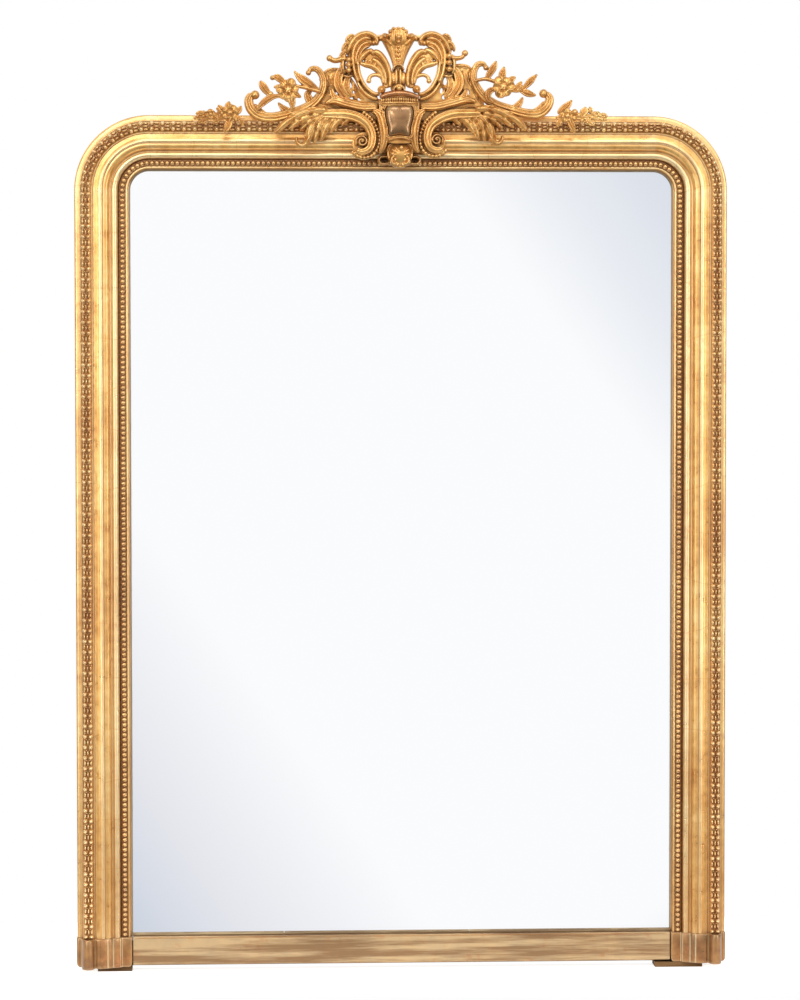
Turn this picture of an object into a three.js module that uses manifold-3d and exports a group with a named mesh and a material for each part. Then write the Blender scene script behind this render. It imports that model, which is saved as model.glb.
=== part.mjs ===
// Trumeau mirror: a gilt overmantel frame with a pierced, carved crest.
// Millimetres, +Z up. The wall plane is y = 0 and the front faces -Y.
// The origin is the middle of the lower cross batten's back face, on the wall.
// Places inside the frame are given as (x, height above the mantel, depth in front of the wall).

import * as THREE from 'three';
import { mergeVertices } from 'three/addons/utils/BufferGeometryUtils.js';
import Module from 'manifold-3d';

const wasm = await Module();
wasm.setup();

// ---------------------------------------------------------------- driving dimensions

const FRAME_WIDTH = 1170;
const FRAME_TOP = 1536;
const CORNER_RADIUS = 134;
const SEAT_GAP = 0.3;

const PACKER_HEIGHT = 9;
const PACKER_STANDOFF = 3;
const PACKER_LEFT = { overhang: 61, lap: 1, front: 36 };
const PACKER_RIGHT = { overhang: 56, lap: 30, front: 46 };
const PLINTH_HEIGHT = 54;
const PLINTH_PROUD = 1.5;
const PLINTH_CORNER = 6;
const RAIL_LIFT = 3;
const RAIL_RISE = 15;
const RAIL_BEVEL = 2;
const RAIL_LIP = { width: 2.5, slope: 1, proud: 1.5, fall: 0.5 };

const BATTEN_THICKNESS = 9;
const BATTEN_HEIGHT = 54;
const BATTEN_INSET = 40;
const CARCASS_THICKNESS = 18;
const CARCASS_INSET = 4;
const REBATE = 12;
const GLASS_THICKNESS = 4;
const GLASS_PLAY = 3;
const BOARD_THICKNESS = 9;
const BOARD_COUNT = 3;
const GLAZING_BEAD_WIDTH = 10;

const PEARL_PITCH = 9;
const PEARL_RADIUS = 4.3;
const PEARL_RISE = 5.4;
const PEARL_NECK = { half: 2.15, rise: 1.7 };
const BAND_PITCH = 19;
const BAND_RISE = 12;
const BAND_WIDTH = 18.6;
const BAND_CROWN = 11.2;
const BAND_NECK = { half: 7.8, rise: 8.6 };
const CORNER_STEPS = 6;
const BOSS_SIDES = 6;
const HOLE_SIDES = 6;
const HUB_SIDES = 8;

const LAYER = 12;
const HANGER_SPREAD = 340;
const HANGER_DROP = 30;
const RING_WIRE = 1.75;
const RING_HALF_WIDTH = 15;
const RING_DROP = 27;
const RING_CORNER = 4;
const STRAP = { halfWidth: 10, length: 44, thickness: 1.6 };
const KNUCKLE = { halfWidth: 7, bore: 2.3, radius: 3.9 };

const REST = { left: -128, right: 122, height: 19 };
// Squares of the carving pattern across the frame. Its middle stands off the middle of the frame's top.
const PATTERN_COUNT = 1186;
const PATTERN_MIDDLE = { left: 4.6, drop: 4 };
const PENDANT_SCRIBE = 9.7;

// Section of the gilt moulding: inset from the outer edge, rise above the carcass.
const MOULDING_SECTION = [
  [2, 0], [0, 5], [0, 11], [3, 15], [8.5, 15.5], [11, 23], [11, 36],
  [31, 36], [32.5, 30], [39, 32], [46, 35], [50, 33], [52, 31],
  [57, 30], [61, 27.5], [63, 24], [67, 23.5], [72, 24.5], [77, 20],
  [80, 12], [90.5, 12], [92, 13.5], [95, 12.5], [97, 8], [97, 0],
];

// Section of a plinth block, which follows the moulding and carries a half-round block.
const PLINTH_SECTION = [
  [0, 0], [0, 15], [3, 18], [10.5, 19], [11, 38], [13, 46], [17, 50.5], [21, 52],
  [25, 50.5], [29, 46], [31, 38], [34, 36.5], [43, 38], [51, 35], [61, 31],
  [66, 27], [77, 23], [80, 19], [97, 19], [97, 0],
];

// ---------------------------------------------------------------- derived places

const HALF_WIDTH = FRAME_WIDTH / 2;
const SQUARE = FRAME_WIDTH / PATTERN_COUNT;
const MOULDING_WIDTH = MOULDING_SECTION.at(-1)[0];
const BAND_SEAT = MOULDING_SECTION[6];
const BAND_INSET = (MOULDING_SECTION[6][0] + MOULDING_SECTION[7][0]) / 2;
const PEARL_SEAT = MOULDING_SECTION[19];
const PEARL_INSET = (MOULDING_SECTION[19][0] + MOULDING_SECTION[20][0]) / 2;

const CARCASS_BACK = BATTEN_THICKNESS + SEAT_GAP;
const CARCASS_FRONT = CARCASS_BACK + CARCASS_THICKNESS;
const MOULDING_BACK = CARCASS_FRONT + SEAT_GAP;
const BAND_DEPTH = MOULDING_BACK + BAND_SEAT[1] + SEAT_GAP;
const PEARL_DEPTH = MOULDING_BACK + PEARL_SEAT[1] + SEAT_GAP;
const BAND_FRONT = BAND_DEPTH + BAND_RISE;

const SIGHT_HALF = HALF_WIDTH - MOULDING_WIDTH;
const SIGHT_TOP = FRAME_TOP - MOULDING_WIDTH;
const PLINTH_TOP = PACKER_HEIGHT + PLINTH_HEIGHT;
const SPRING_LINE = FRAME_TOP - CORNER_RADIUS;
const TOP_HALF = HALF_WIDTH - CORNER_RADIUS;
const OPENING_HALF = SIGHT_HALF + REBATE;
const OPENING_TOP = SIGHT_TOP + REBATE;
const OPENING_BOTTOM = PLINTH_TOP - REBATE + GLASS_PLAY;
const LOWER_BATTEN_HEIGHT = PACKER_HEIGHT + BATTEN_HEIGHT / 2;

// Depths of the crest's layers: panel, scrolls, leaves and the shield.
const PANEL_BACK = BAND_FRONT - LAYER;
const SCROLL_BACK = BAND_FRONT + SEAT_GAP;
const LEAF_BACK = SCROLL_BACK + LAYER + SEAT_GAP;
const SCRIBE_BACK = MOULDING_BACK + PENDANT_SCRIBE;

// ---------------------------------------------------------------- materials

function finish(color, roughness, metalness) {
  return { color, roughness, metalness };
}

const GILT = finish(0xd9af6e, 0.42, 0.75);
const WORN_GILT = finish(0x996b3e, 0.55, 0.45);
const BURNISHED = finish(0x96694b, 0.25, 0.6);
const PINE = finish(0xb08a5a, 0.85, 0);
const SILVERED = finish(0xdce2e8, 0.04, 1);
const IRON = finish(0x4a453f, 0.55, 0.8);

const model = new THREE.Group();

// Everything is built from the mantel up and then moved, so the wall mount is the origin.
model.position.z = -LOWER_BATTEN_HEIGHT;

function place(name, geometry, look) {
  geometry.computeVertexNormals();
  const mesh = new THREE.Mesh(geometry, new THREE.MeshStandardMaterial({ ...look, flatShading: true }));
  mesh.name = name;
  model.add(mesh);
  return mesh;
}

// ---------------------------------------------------------------- geometry helpers

function point(x, height, depth) {
  return new THREE.Vector3(x, -depth, height);
}

function positionsOnly(geometry) {
  const bare = new THREE.BufferGeometry();
  bare.setAttribute('position', geometry.getAttribute('position').clone());
  if (geometry.index) {
    bare.setIndex(geometry.index.clone());
  }
  return mergeVertices(bare, 1e-4);
}

// Turns a closed mesh into a solid with its faces pointing out.
function toSolid(geometry) {
  const merged = positionsOnly(geometry);
  const source = merged.index.array;
  const faces = [];
  for (let i = 0; i < source.length; i += 3) {
    const [a, b, c] = [source[i], source[i + 1], source[i + 2]];
    if (a !== b && b !== c && c !== a) {
      faces.push([a, b, c]);
    }
  }
  const vertices = merged.getAttribute('position').array;
  const inward = signedVolume(vertices, faces) < 0;
  const ordered = faces.map(([a, b, c]) => (inward ? [a, c, b] : [a, b, c]));
  return new wasm.Manifold(new wasm.Mesh({
    numProp: 3,
    vertProperties: Float32Array.from(vertices),
    triVerts: Uint32Array.from(ordered.flat()),
  }));
}

function signedVolume(vertices, faces) {
  const corner = (i) => new THREE.Vector3().fromArray(vertices, 3 * i);
  return faces.reduce((sum, [a, b, c]) => sum + corner(a).dot(corner(b).cross(corner(c))), 0);
}

function toGeometry(solid) {
  const mesh = solid.getMesh();
  const geometry = new THREE.BufferGeometry();
  const corners = [];
  for (let i = 0; i < mesh.numVert; i += 1) {
    for (let axis = 0; axis < 3; axis += 1) {
      corners.push(mesh.vertProperties[i * mesh.numProp + axis]);
    }
  }
  geometry.setAttribute('position', new THREE.Float32BufferAttribute(corners, 3));
  geometry.setIndex(Array.from(mesh.triVerts));
  return geometry.toNonIndexed();
}

function join(geometries) {
  return geometries.map(toSolid).reduce((whole, piece) => whole.add(piece));
}

function tidy(geometry) {
  return toGeometry(toSolid(geometry));
}

// Skins a row of matching rings and closes both ends, or runs the last ring into the first.
function loft(rings, endless = false) {
  const sides = rings[0].length;
  const spans = endless ? rings.length : rings.length - 1;
  const faces = [];
  for (let i = 0; i < spans; i += 1) {
    const near = rings[i];
    const far = rings[(i + 1) % rings.length];
    for (let j = 0; j < sides; j += 1) {
      const k = (j + 1) % sides;
      faces.push(near[j], near[k], far[k], near[j], far[k], far[j]);
    }
  }
  if (!endless) {
    faces.push(...cap(rings[0], true), ...cap(rings.at(-1), false));
  }
  return new THREE.BufferGeometry().setFromPoints(faces);
}

// Fills a planar ring, convex or not, facing back along the loft or forward.
function cap(ring, first) {
  const origin = ring[0];
  const normal = ringNormal(ring);
  const across = ring.map((p) => p.clone().sub(origin)).find((v) => v.lengthSq() > 1e-6).normalize();
  const up = normal.clone().cross(across);
  const flat = ring.map((p) => {
    const offset = p.clone().sub(origin);
    return new THREE.Vector2(offset.dot(across), offset.dot(up));
  });
  const triangles = THREE.ShapeUtils.triangulateShape(flat, []).map((t) => (first ? t.reverse() : t));
  return triangles.flat().map((i) => ring[i]);
}

function ringNormal(ring) {
  const normal = new THREE.Vector3();
  ring.forEach((p, i) => normal.add(p.clone().cross(ring[(i + 1) % ring.length])));
  return normal.normalize();
}

// A block between two corners, each (x, height, depth).
function block([x0, low, back], [x1, high, front]) {
  const box = new THREE.BoxGeometry(x1 - x0, front - back, high - low);
  box.translate((x0 + x1) / 2, -(back + front) / 2, (low + high) / 2);
  return box;
}

// A flat board whose outline is seen from the front.
function board(outline, back, front, holes = []) {
  const shape = new THREE.Shape(outline.map(([x, z]) => new THREE.Vector2(x, z)));
  shape.holes = holes.map((hole) => new THREE.Path(hole.map(([x, z]) => new THREE.Vector2(x, z))));
  const panel = new THREE.ExtrudeGeometry(shape, { depth: front - back, bevelEnabled: false });
  panel.rotateX(Math.PI / 2);
  panel.translate(0, -back, 0);
  return panel;
}

function arcPoints(cx, cz, radius, from, to, steps) {
  const curve = new THREE.EllipseCurve(cx, cz, radius, radius, from, to, from > to);
  return curve.getPoints(steps).map((p) => [p.x, p.y]);
}

// ---------------------------------------------------------------- the moulded frame

// Runs up the left stile, round the corner and along the top, at one inset from the outer edge.
function frameRun(inset) {
  const stile = SPRING_LINE - PLINTH_TOP;
  const corner = (CORNER_RADIUS - inset) * Math.PI / 2;
  return {
    stile,
    corner,
    at(distance) {
      if (distance <= stile) {
        return { x: -HALF_WIDTH + inset, z: PLINTH_TOP + distance, inward: [1, 0] };
      }
      const angle = Math.min((distance - stile) / (CORNER_RADIUS - inset), Math.PI / 2);
      const radius = CORNER_RADIUS - inset;
      const inward = [Math.cos(angle), -Math.sin(angle)];
      return { x: -TOP_HALF - radius * inward[0], z: SPRING_LINE - radius * inward[1], inward };
    },
  };
}

function topRun(inset) {
  return { at: (distance) => ({ x: -TOP_HALF + distance, z: FRAME_TOP - inset, inward: [0, -1] }) };
}

// Sets a section, given as (across, rise), square to a run.
function ringAt({ x, z, inward }, section, depth) {
  const [alongX, alongZ] = inward;
  return section.map(([across, rise]) => point(x + alongX * across, z + alongZ * across, depth + rise));
}

function mirrored(geometry) {
  const copy = geometry.clone();
  copy.scale(-1, 1, 1);
  return copy;
}

function placePair(name, geometry, look) {
  place(`${name}_left`, tidy(geometry), look);
  place(`${name}_right`, tidy(mirrored(geometry)), look);
}

function buildMouldings() {
  const side = frameRun(0);
  const stationAt = (run, s) => ringAt(run.at(s), MOULDING_SECTION, MOULDING_BACK);
  const length = (run, stations) => loft(stations.map((s) => stationAt(run, s)));
  const bend = [...Array(CORNER_STEPS + 1).keys()].map((i) => side.stile + side.corner * i / CORNER_STEPS);
  placePair('moulding_stile', length(side, [SEAT_GAP, side.stile - SEAT_GAP]), GILT);
  placePair('moulding_corner', length(side, bend), GILT);
  place('moulding_top', tidy(length(topRun(0), [SEAT_GAP, 2 * TOP_HALF - SEAT_GAP])), GILT);
}

// A string of repeated swellings: a narrow neck, a full belly, and a neck again.
function beadString(run, from, to, pitch, depth, neck, belly) {
  const count = Math.round((to - from) / pitch);
  const step = (to - from) / count;
  const rings = [ringAt(run.at(from), neck, depth)];
  for (let i = 0; i < count; i += 1) {
    rings.push(ringAt(run.at(from + (i + 0.5) * step), belly, depth));
    rings.push(ringAt(run.at(from + (i + 1) * step), neck, depth));
  }
  return loft(rings);
}

// A flat-backed section, crowned by a flat or, where the crown is nil, by a ridge.
function crowned(half, crown, rise) {
  return [[-half, 0], [half, 0], [crown, rise], [-crown, rise]];
}

function buildString(name, inset, pitch, depth, neck, belly) {
  const side = frameRun(inset);
  const end = side.stile + side.corner - SEAT_GAP;
  const across = [SEAT_GAP, 2 * TOP_HALF - SEAT_GAP];
  placePair(name, beadString(side, SEAT_GAP, end, pitch, depth, neck, belly), GILT);
  place(`${name}_top`, tidy(beadString(topRun(inset), ...across, pitch, depth, neck, belly)), GILT);
}

function buildStrings() {
  const thread = crowned(PEARL_NECK.half, 0, PEARL_NECK.rise);
  buildString('pearls', PEARL_INSET, PEARL_PITCH, PEARL_DEPTH, thread, crowned(PEARL_RADIUS, 0, PEARL_RISE));
  const notch = crowned(BAND_NECK.half, 0, BAND_NECK.rise);
  const leaf = crowned(BAND_WIDTH / 2, BAND_CROWN / 2, BAND_RISE);
  buildString('band', BAND_INSET, BAND_PITCH, BAND_DEPTH, notch, leaf);
}

// The plinth's section runs up it, and its lower corners are rounded as seen from the front.
function buildPlinths() {
  const outer = -HALF_WIDTH - PLINTH_PROUD;
  const width = MOULDING_WIDTH + 2 * PLINTH_PROUD;
  const stretch = width / MOULDING_WIDTH;
  const depthOf = (rise) => MOULDING_BACK + rise;
  const ringAtHeight = (z) => PLINTH_SECTION.map(([u, rise]) => point(outer + u * stretch, z, depthOf(rise)));
  const shaft = toSolid(loft([ringAtHeight(PACKER_HEIGHT), ringAtHeight(PLINTH_TOP)]));
  const low = PACKER_HEIGHT + PLINTH_CORNER;
  const inner = outer + width;
  const face = [
    ...arcPoints(outer + PLINTH_CORNER, low, PLINTH_CORNER, Math.PI, 1.5 * Math.PI, 3),
    ...arcPoints(inner - PLINTH_CORNER, low, PLINTH_CORNER, 1.5 * Math.PI, 2 * Math.PI, 3),
    [inner, PLINTH_TOP + 1], [outer, PLINTH_TOP + 1],
  ];
  const trimmed = shaft.intersect(toSolid(board(face, 0, BAND_FRONT)));
  placePair('plinth', toGeometry(trimmed), WORN_GILT);
}

// The plain front of the bottom rail, with a thin lip along its sill.
function buildRailFront() {
  const half = SIGHT_HALF - PLINTH_PROUD - SEAT_GAP;
  const low = PACKER_HEIGHT + RAIL_LIFT;
  const lip = PLINTH_TOP - RAIL_LIP.width;
  const crest = RAIL_RISE + RAIL_LIP.proud;
  const section = [
    [low, 0], [low, RAIL_RISE - RAIL_BEVEL], [low + RAIL_BEVEL, RAIL_RISE], [lip - RAIL_LIP.slope, RAIL_RISE],
    [lip, crest], [PLINTH_TOP, crest - RAIL_LIP.fall], [PLINTH_TOP, 0],
  ];
  const ring = (x) => section.map(([z, rise]) => point(x, z, MOULDING_BACK + rise));
  place('rail_front', tidy(loft([ring(-half), ring(half)])), WORN_GILT);
}

// ---------------------------------------------------------------- carcass, glass and back

function buildCarcass() {
  const outer = HALF_WIDTH - CARCASS_INSET;
  const radius = CORNER_RADIUS - CARCASS_INSET;
  const top = FRAME_TOP - CARCASS_INSET;
  const joint = SPRING_LINE - SEAT_GAP;
  const stile = block([-outer, PACKER_HEIGHT, CARCASS_BACK], [-OPENING_HALF, joint, CARCASS_FRONT]);
  placePair('stile', stile, PINE);
  const corner = [
    ...arcPoints(-TOP_HALF, SPRING_LINE, radius, Math.PI, Math.PI / 2, CORNER_STEPS),
    [-TOP_HALF, OPENING_TOP], [-OPENING_HALF, OPENING_TOP], [-OPENING_HALF, SPRING_LINE],
  ];
  placePair('corner_block', board(corner, CARCASS_BACK, CARCASS_FRONT), PINE);
  const railHalf = TOP_HALF - SEAT_GAP;
  place('top_rail', block([-railHalf, OPENING_TOP, CARCASS_BACK], [railHalf, top, CARCASS_FRONT]), PINE);
  const lowHalf = OPENING_HALF - SEAT_GAP;
  const lowRail = block([-lowHalf, PACKER_HEIGHT, CARCASS_BACK], [lowHalf, OPENING_BOTTOM, CARCASS_FRONT]);
  place('bottom_rail', lowRail, PINE);
}

function buildGlass() {
  const half = OPENING_HALF - GLASS_PLAY;
  const low = OPENING_BOTTOM + SEAT_GAP;
  const high = OPENING_TOP - GLASS_PLAY;
  const front = CARCASS_FRONT;
  const back = front - GLASS_THICKNESS;
  place('mirror_glass', block([-half, low, back], [half, high, front]), SILVERED);
  buildGlazingBeads(half, low, high, back - SEAT_GAP);
  buildBackboards(low, high);
}

// Four soft-wood beads press the glass forward against the moulding.
function buildGlazingBeads(half, low, high, front) {
  const back = CARCASS_BACK + BOARD_THICKNESS + SEAT_GAP;
  const inner = half - GLAZING_BEAD_WIDTH;
  const side = block([-half, low, back], [-inner - SEAT_GAP, high, front]);
  placePair('glazing_bead', side, PINE);
  place('glazing_bead_bottom', block([-inner, low, back], [inner, low + GLAZING_BEAD_WIDTH, front]), PINE);
  place('glazing_bead_top', block([-inner, high - GLAZING_BEAD_WIDTH, back], [inner, high, front]), PINE);
}

function buildBackboards(low, high) {
  const width = 2 * (OPENING_HALF - SEAT_GAP) / BOARD_COUNT;
  const front = CARCASS_BACK + BOARD_THICKNESS;
  for (let i = 0; i < BOARD_COUNT; i += 1) {
    const left = -OPENING_HALF + SEAT_GAP + i * width;
    const plank = block([left, low, CARCASS_BACK], [left + width - SEAT_GAP, high, front]);
    place(`backboard_${i + 1}`, plank, PINE);
  }
}

// Cross battens behind the carcass hold the boards in and keep the back off the wall.
function buildBattens() {
  const half = HALF_WIDTH - BATTEN_INSET;
  const high = OPENING_TOP - BATTEN_INSET;
  const lower = block([-half, PACKER_HEIGHT, 0], [half, PACKER_HEIGHT + BATTEN_HEIGHT, BATTEN_THICKNESS]);
  place('batten_lower', lower, PINE);
  place('batten_upper', block([-half, high - BATTEN_HEIGHT, 0], [half, high, BATTEN_THICKNESS]), PINE);
}

function buildPackers() {
  const top = PACKER_HEIGHT - SEAT_GAP;
  const left = PACKER_LEFT;
  const right = PACKER_RIGHT;
  const near = [-SIGHT_HALF - left.overhang, 0, PACKER_STANDOFF];
  const far = [SIGHT_HALF - right.lap, 0, PACKER_STANDOFF];
  place('packer_left', block(near, [-SIGHT_HALF + left.lap, top, left.front]), PINE);
  place('packer_right', block(far, [SIGHT_HALF + right.overhang, top, right.front]), PINE);
}

// ---------------------------------------------------------------- ring hangers

const HANGER_HEIGHT = FRAME_TOP - HANGER_DROP;
const RING_DEPTH = BATTEN_THICKNESS / 2;

// A D-shaped wire: a straight bar in the knuckle and a round bow below it.
function ringWire(x) {
  const low = HANGER_HEIGHT - RING_DROP + RING_HALF_WIDTH;
  const shoulder = RING_HALF_WIDTH - RING_CORNER;
  const turn = HANGER_HEIGHT - RING_CORNER;
  const route = [
    ...arcPoints(x - shoulder, turn, RING_CORNER, Math.PI, Math.PI / 2, 1),
    ...arcPoints(x + shoulder, turn, RING_CORNER, Math.PI / 2, 0, 1),
    ...arcPoints(x, low, RING_HALF_WIDTH, 0, -Math.PI, 8),
  ];
  const rings = route.map((p, i) => wireRing(p, route.at(i - 1), route[(i + 1) % route.length]));
  return loft(rings, true);
}

function wireRing([x, z], before, after) {
  const along = new THREE.Vector2(after[0] - before[0], after[1] - before[1]).normalize();
  return Array.from({ length: 6 }, (_, i) => {
    const angle = i * Math.PI / 3;
    const out = RING_WIRE * Math.cos(angle);
    return point(x - along.y * out, z + along.x * out, RING_DEPTH + RING_WIRE * Math.sin(angle));
  });
}

// A screwed strap whose top end is rolled round the ring's bar.
function hangerPlate(x) {
  const plate = block(
    [x - STRAP.halfWidth, HANGER_HEIGHT - STRAP.length, BATTEN_THICKNESS - STRAP.thickness],
    [x + STRAP.halfWidth, HANGER_HEIGHT, BATTEN_THICKNESS],
  );
  const knuckle = rod(x, KNUCKLE.halfWidth, KNUCKLE.radius, 10);
  const bore = rod(x, 2 * STRAP.halfWidth, KNUCKLE.bore, 8);
  return toSolid(plate).add(knuckle).subtract(bore);
}

function rod(x, halfLength, radius, sides) {
  const cylinder = new THREE.CylinderGeometry(radius, radius, 2 * halfLength, sides);
  cylinder.rotateZ(Math.PI / 2);
  cylinder.translate(x, -RING_DEPTH, HANGER_HEIGHT);
  return toSolid(cylinder);
}

function buildHangers() {
  for (const [side, x] of [['left', -HANGER_SPREAD], ['right', HANGER_SPREAD]]) {
    place(`hanger_${side}`, toGeometry(hangerPlate(x)), IRON);
    place(`ring_${side}`, tidy(ringWire(x)), IRON);
  }
}

// ---------------------------------------------------------------- carving tools

// Carved sections: across and rise are fractions of the half width and of the full height.
const RIDGE = [[-1, 0], [1, 0], [0, 1]];
const ROLL = [[-1, 0], [1, 0], [0.55, 1], [-0.55, 1]];
const FLUTE = [[-1, 0], [1, 0], [0.8, 1], [0, 0.6], [-0.8, 1]];

// The crest's patterns are drawn on squares, as (x, height) from the pattern's middle.
function across(x) {
  return (x - PATTERN_MIDDLE.left) * SQUARE;
}

function upward(z) {
  return FRAME_TOP + (z - PATTERN_MIDDLE.drop) * SQUARE;
}

function drawn(x, z, depth) {
  return point(across(x), upward(z), depth);
}

// Sweeps a carved section along a route of (x, height above the frame top, half width).
function carve(route, back, rise, section = RIDGE) {
  const places = route.map(([x, z]) => drawn(x, z, back));
  const spine = new THREE.CatmullRomCurve3(places, false, 'centripetal');
  const widest = Math.max(...route.map(([, , half]) => half));
  const rings = route.map(([, , half], i) => {
    const t = i / (route.length - 1);
    const centre = spine.getPoint(t);
    const along = spine.getTangent(t);
    const height = rise * (0.45 + 0.55 * half / widest);
    return section.map(([side, up]) => new THREE.Vector3(
      centre.x - along.z * side * half * SQUARE,
      centre.y - up * height,
      centre.z + along.x * side * half * SQUARE,
    ));
  });
  return loft(rings);
}

// A round boss: half a ball on a flat back.
function boss(x, z, radius, back, rise = radius) {
  const quarter = [[0, 0], [1, 0], [0.75, 0.66], [0, 1]];
  const profile = quarter.map(([r, h]) => new THREE.Vector2(r * radius * SQUARE, h * rise));
  const dome = new THREE.LatheGeometry(profile, BOSS_SIDES);
  dome.rotateX(Math.PI);
  dome.translate(across(x), -back, upward(z));
  return dome;
}

// A flower: a star of petals rising to a button.
function rosette(x, z, radius, petals, back, rise) {
  const star = (outer, inner, depth) => Array.from({ length: 2 * petals }, (_, i) => {
    const angle = i * Math.PI / petals;
    const reach = i % 2 ? inner : outer;
    return drawn(x + reach * Math.cos(angle), z + reach * Math.sin(angle), depth);
  });
  return loft([star(radius, radius * 0.6, back), star(radius * 0.4, radius * 0.3, back + rise)]);
}

function lower(outline) {
  return outline.map(([x, z]) => [across(x), upward(z)]);
}

function oval([x, z, halfWidth, halfHeight, tilt = 0]) {
  const turn = THREE.MathUtils.degToRad(tilt);
  const curve = new THREE.EllipseCurve(x, z, halfWidth, halfHeight, 0, 2 * Math.PI, false, turn);
  return lower(curve.getPoints(HOLE_SIDES).slice(0, HOLE_SIDES).map((p) => [p.x, p.y]));
}

// Moves every side of a section outward by the seat gap.
function eased(section) {
  return section.map((here, i) => {
    const before = section.at(i - 1);
    const after = section[(i + 1) % section.length];
    const [inX, inZ] = outwardOf(before, here);
    const [outX, outZ] = outwardOf(here, after);
    const share = SEAT_GAP / (1 + inX * outX + inZ * outZ);
    return [here[0] + share * (inX + outX), here[1] + share * (inZ + outZ)];
  });
}

function outwardOf(from, to) {
  const run = new THREE.Vector2(to[0] - from[0], to[1] - from[1]).normalize();
  return [-run.y, run.x];
}

// The room taken by the top moulding with its pearls and band, plus a seat all round.
function mouldingRoom() {
  const section = eased(MOULDING_SECTION);
  const ring = (x) => section.map(([u, rise]) => point(x, FRAME_TOP - u, MOULDING_BACK + rise));
  const strip = (inset, half, front) => toSolid(block(
    [-TOP_HALF, FRAME_TOP - inset - half - SEAT_GAP, MOULDING_BACK],
    [TOP_HALF, FRAME_TOP - inset + half + SEAT_GAP, front + SEAT_GAP],
  ));
  const pearls = strip(PEARL_INSET, PEARL_RADIUS, PEARL_DEPTH + PEARL_RISE);
  const band = strip(BAND_INSET, BAND_WIDTH / 2, BAND_FRONT);
  return toSolid(loft([ring(-TOP_HALF), ring(TOP_HALF)])).add(pearls).add(band);
}

// ---------------------------------------------------------------- crest: panel and supports

function buildPanel() {
  const left = [
    [-140, 72], [-128, 85], [-113, 86], [-100, 84], [-84, 64], [-70, 44], [-52, 33], [-4, 30],
    [-4, 3], [-152, 3], [-152, 24], [-143, 40], [-137, 56],
  ];
  const leftHoles = [
    [-92, 57, 4, 6.5, 20], [-98, 45, 3, 6], [-89, 32, 3.5, 6], [-113, 41, 4, 7],
    [-84, 44, 2, 4, -15], [-124, 29, 2.5, 4.5], [-75, 31, 3.2, 2.2, -35],
  ];
  const right = [
    [-3.7, 3], [-3.7, 30], [50, 34], [62, 46], [70, 60], [75, 76], [90, 90], [105, 93], [122, 92],
    [131, 84], [134, 62], [139, 45], [150, 28], [150, 3],
  ];
  const rightHoles = [
    [81, 64, 3.5, 7, -10], [74, 47, 2.5, 5.5, -10], [79, 35, 4, 4.5], [88, 47, 4, 3.5],
    [105, 50, 4, 7.5], [121, 45, 3, 5.5, 15],
  ];
  place('lattice_left', tidy(board(lower(left), PANEL_BACK, BAND_FRONT, leftHoles.map(oval))), GILT);
  place('lattice_right', tidy(board(lower(right), PANEL_BACK, BAND_FRONT, rightHoles.map(oval))), GILT);
}

// A T-shaped spine stands on the panel and ties the scroll heads to the plume.
function buildSpine() {
  const outline = [
    [-12, 33.5], [6, 33.5], [6, 133], [46, 135], [46, 143], [-54, 143], [-54, 135], [-12, 133],
  ];
  place('crest_spine', tidy(board(lower(outline), PANEL_BACK, BAND_FRONT)), WORN_GILT);
  const foot = [across(REST.left), FRAME_TOP + SEAT_GAP, CARCASS_BACK];
  const head = [across(REST.right), upward(REST.height), PANEL_BACK - SEAT_GAP];
  place('crest_rest', block(foot, head), PINE);
}

// ---------------------------------------------------------------- crest: scrolls

function buildSideScrolls() {
  const left = [
    carve([
      [-164, 82, 4], [-155, 86, 5.5], [-144, 77, 6.4], [-139, 60, 7], [-144, 42, 8], [-156, 25, 9],
      [-178, 11, 9.4], [-203, 4, 9.6], [-232, -2, 9.6], [-256, 2, 9.6], [-270, 15, 9.4],
      [-273, 32, 8], [-264, 42, 5],
    ], SCROLL_BACK, LAYER, FLUTE),
    boss(-262, 38, 8, SCROLL_BACK, LAYER),
    carve([[-152, 20, 5], [-165, 32, 7], [-160, 47, 2]], SCROLL_BACK, LAYER - 2),
    carve([[-186, 6, 5], [-204, 10, 6.5], [-221, 25, 1]], SCROLL_BACK, LAYER - 1),
  ];
  const right = [
    carve([
      [152, 93, 4], [142, 96, 5.5], [133, 83, 6.4], [132, 68, 7], [138, 53, 7.6], [150, 37, 8.4],
      [172, 22, 9], [199, 13, 9.2], [228, 6, 9.4], [251, 7, 9.4], [265, 19, 9.2], [269, 35, 8],
      [260, 46, 5],
    ], SCROLL_BACK, LAYER, FLUTE),
    boss(258, 42, 8, SCROLL_BACK, LAYER),
    carve([[160, 28, 4], [155, 38, 6], [160, 48, 2]], SCROLL_BACK, LAYER - 2),
    carve([[190, 14, 5], [208, 18, 6.5], [221, 36, 1]], SCROLL_BACK, LAYER - 1),
  ];
  place('s_scroll_left', toGeometry(join(left)), GILT);
  place('s_scroll_right', toGeometry(join(right)), GILT);
}

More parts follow.
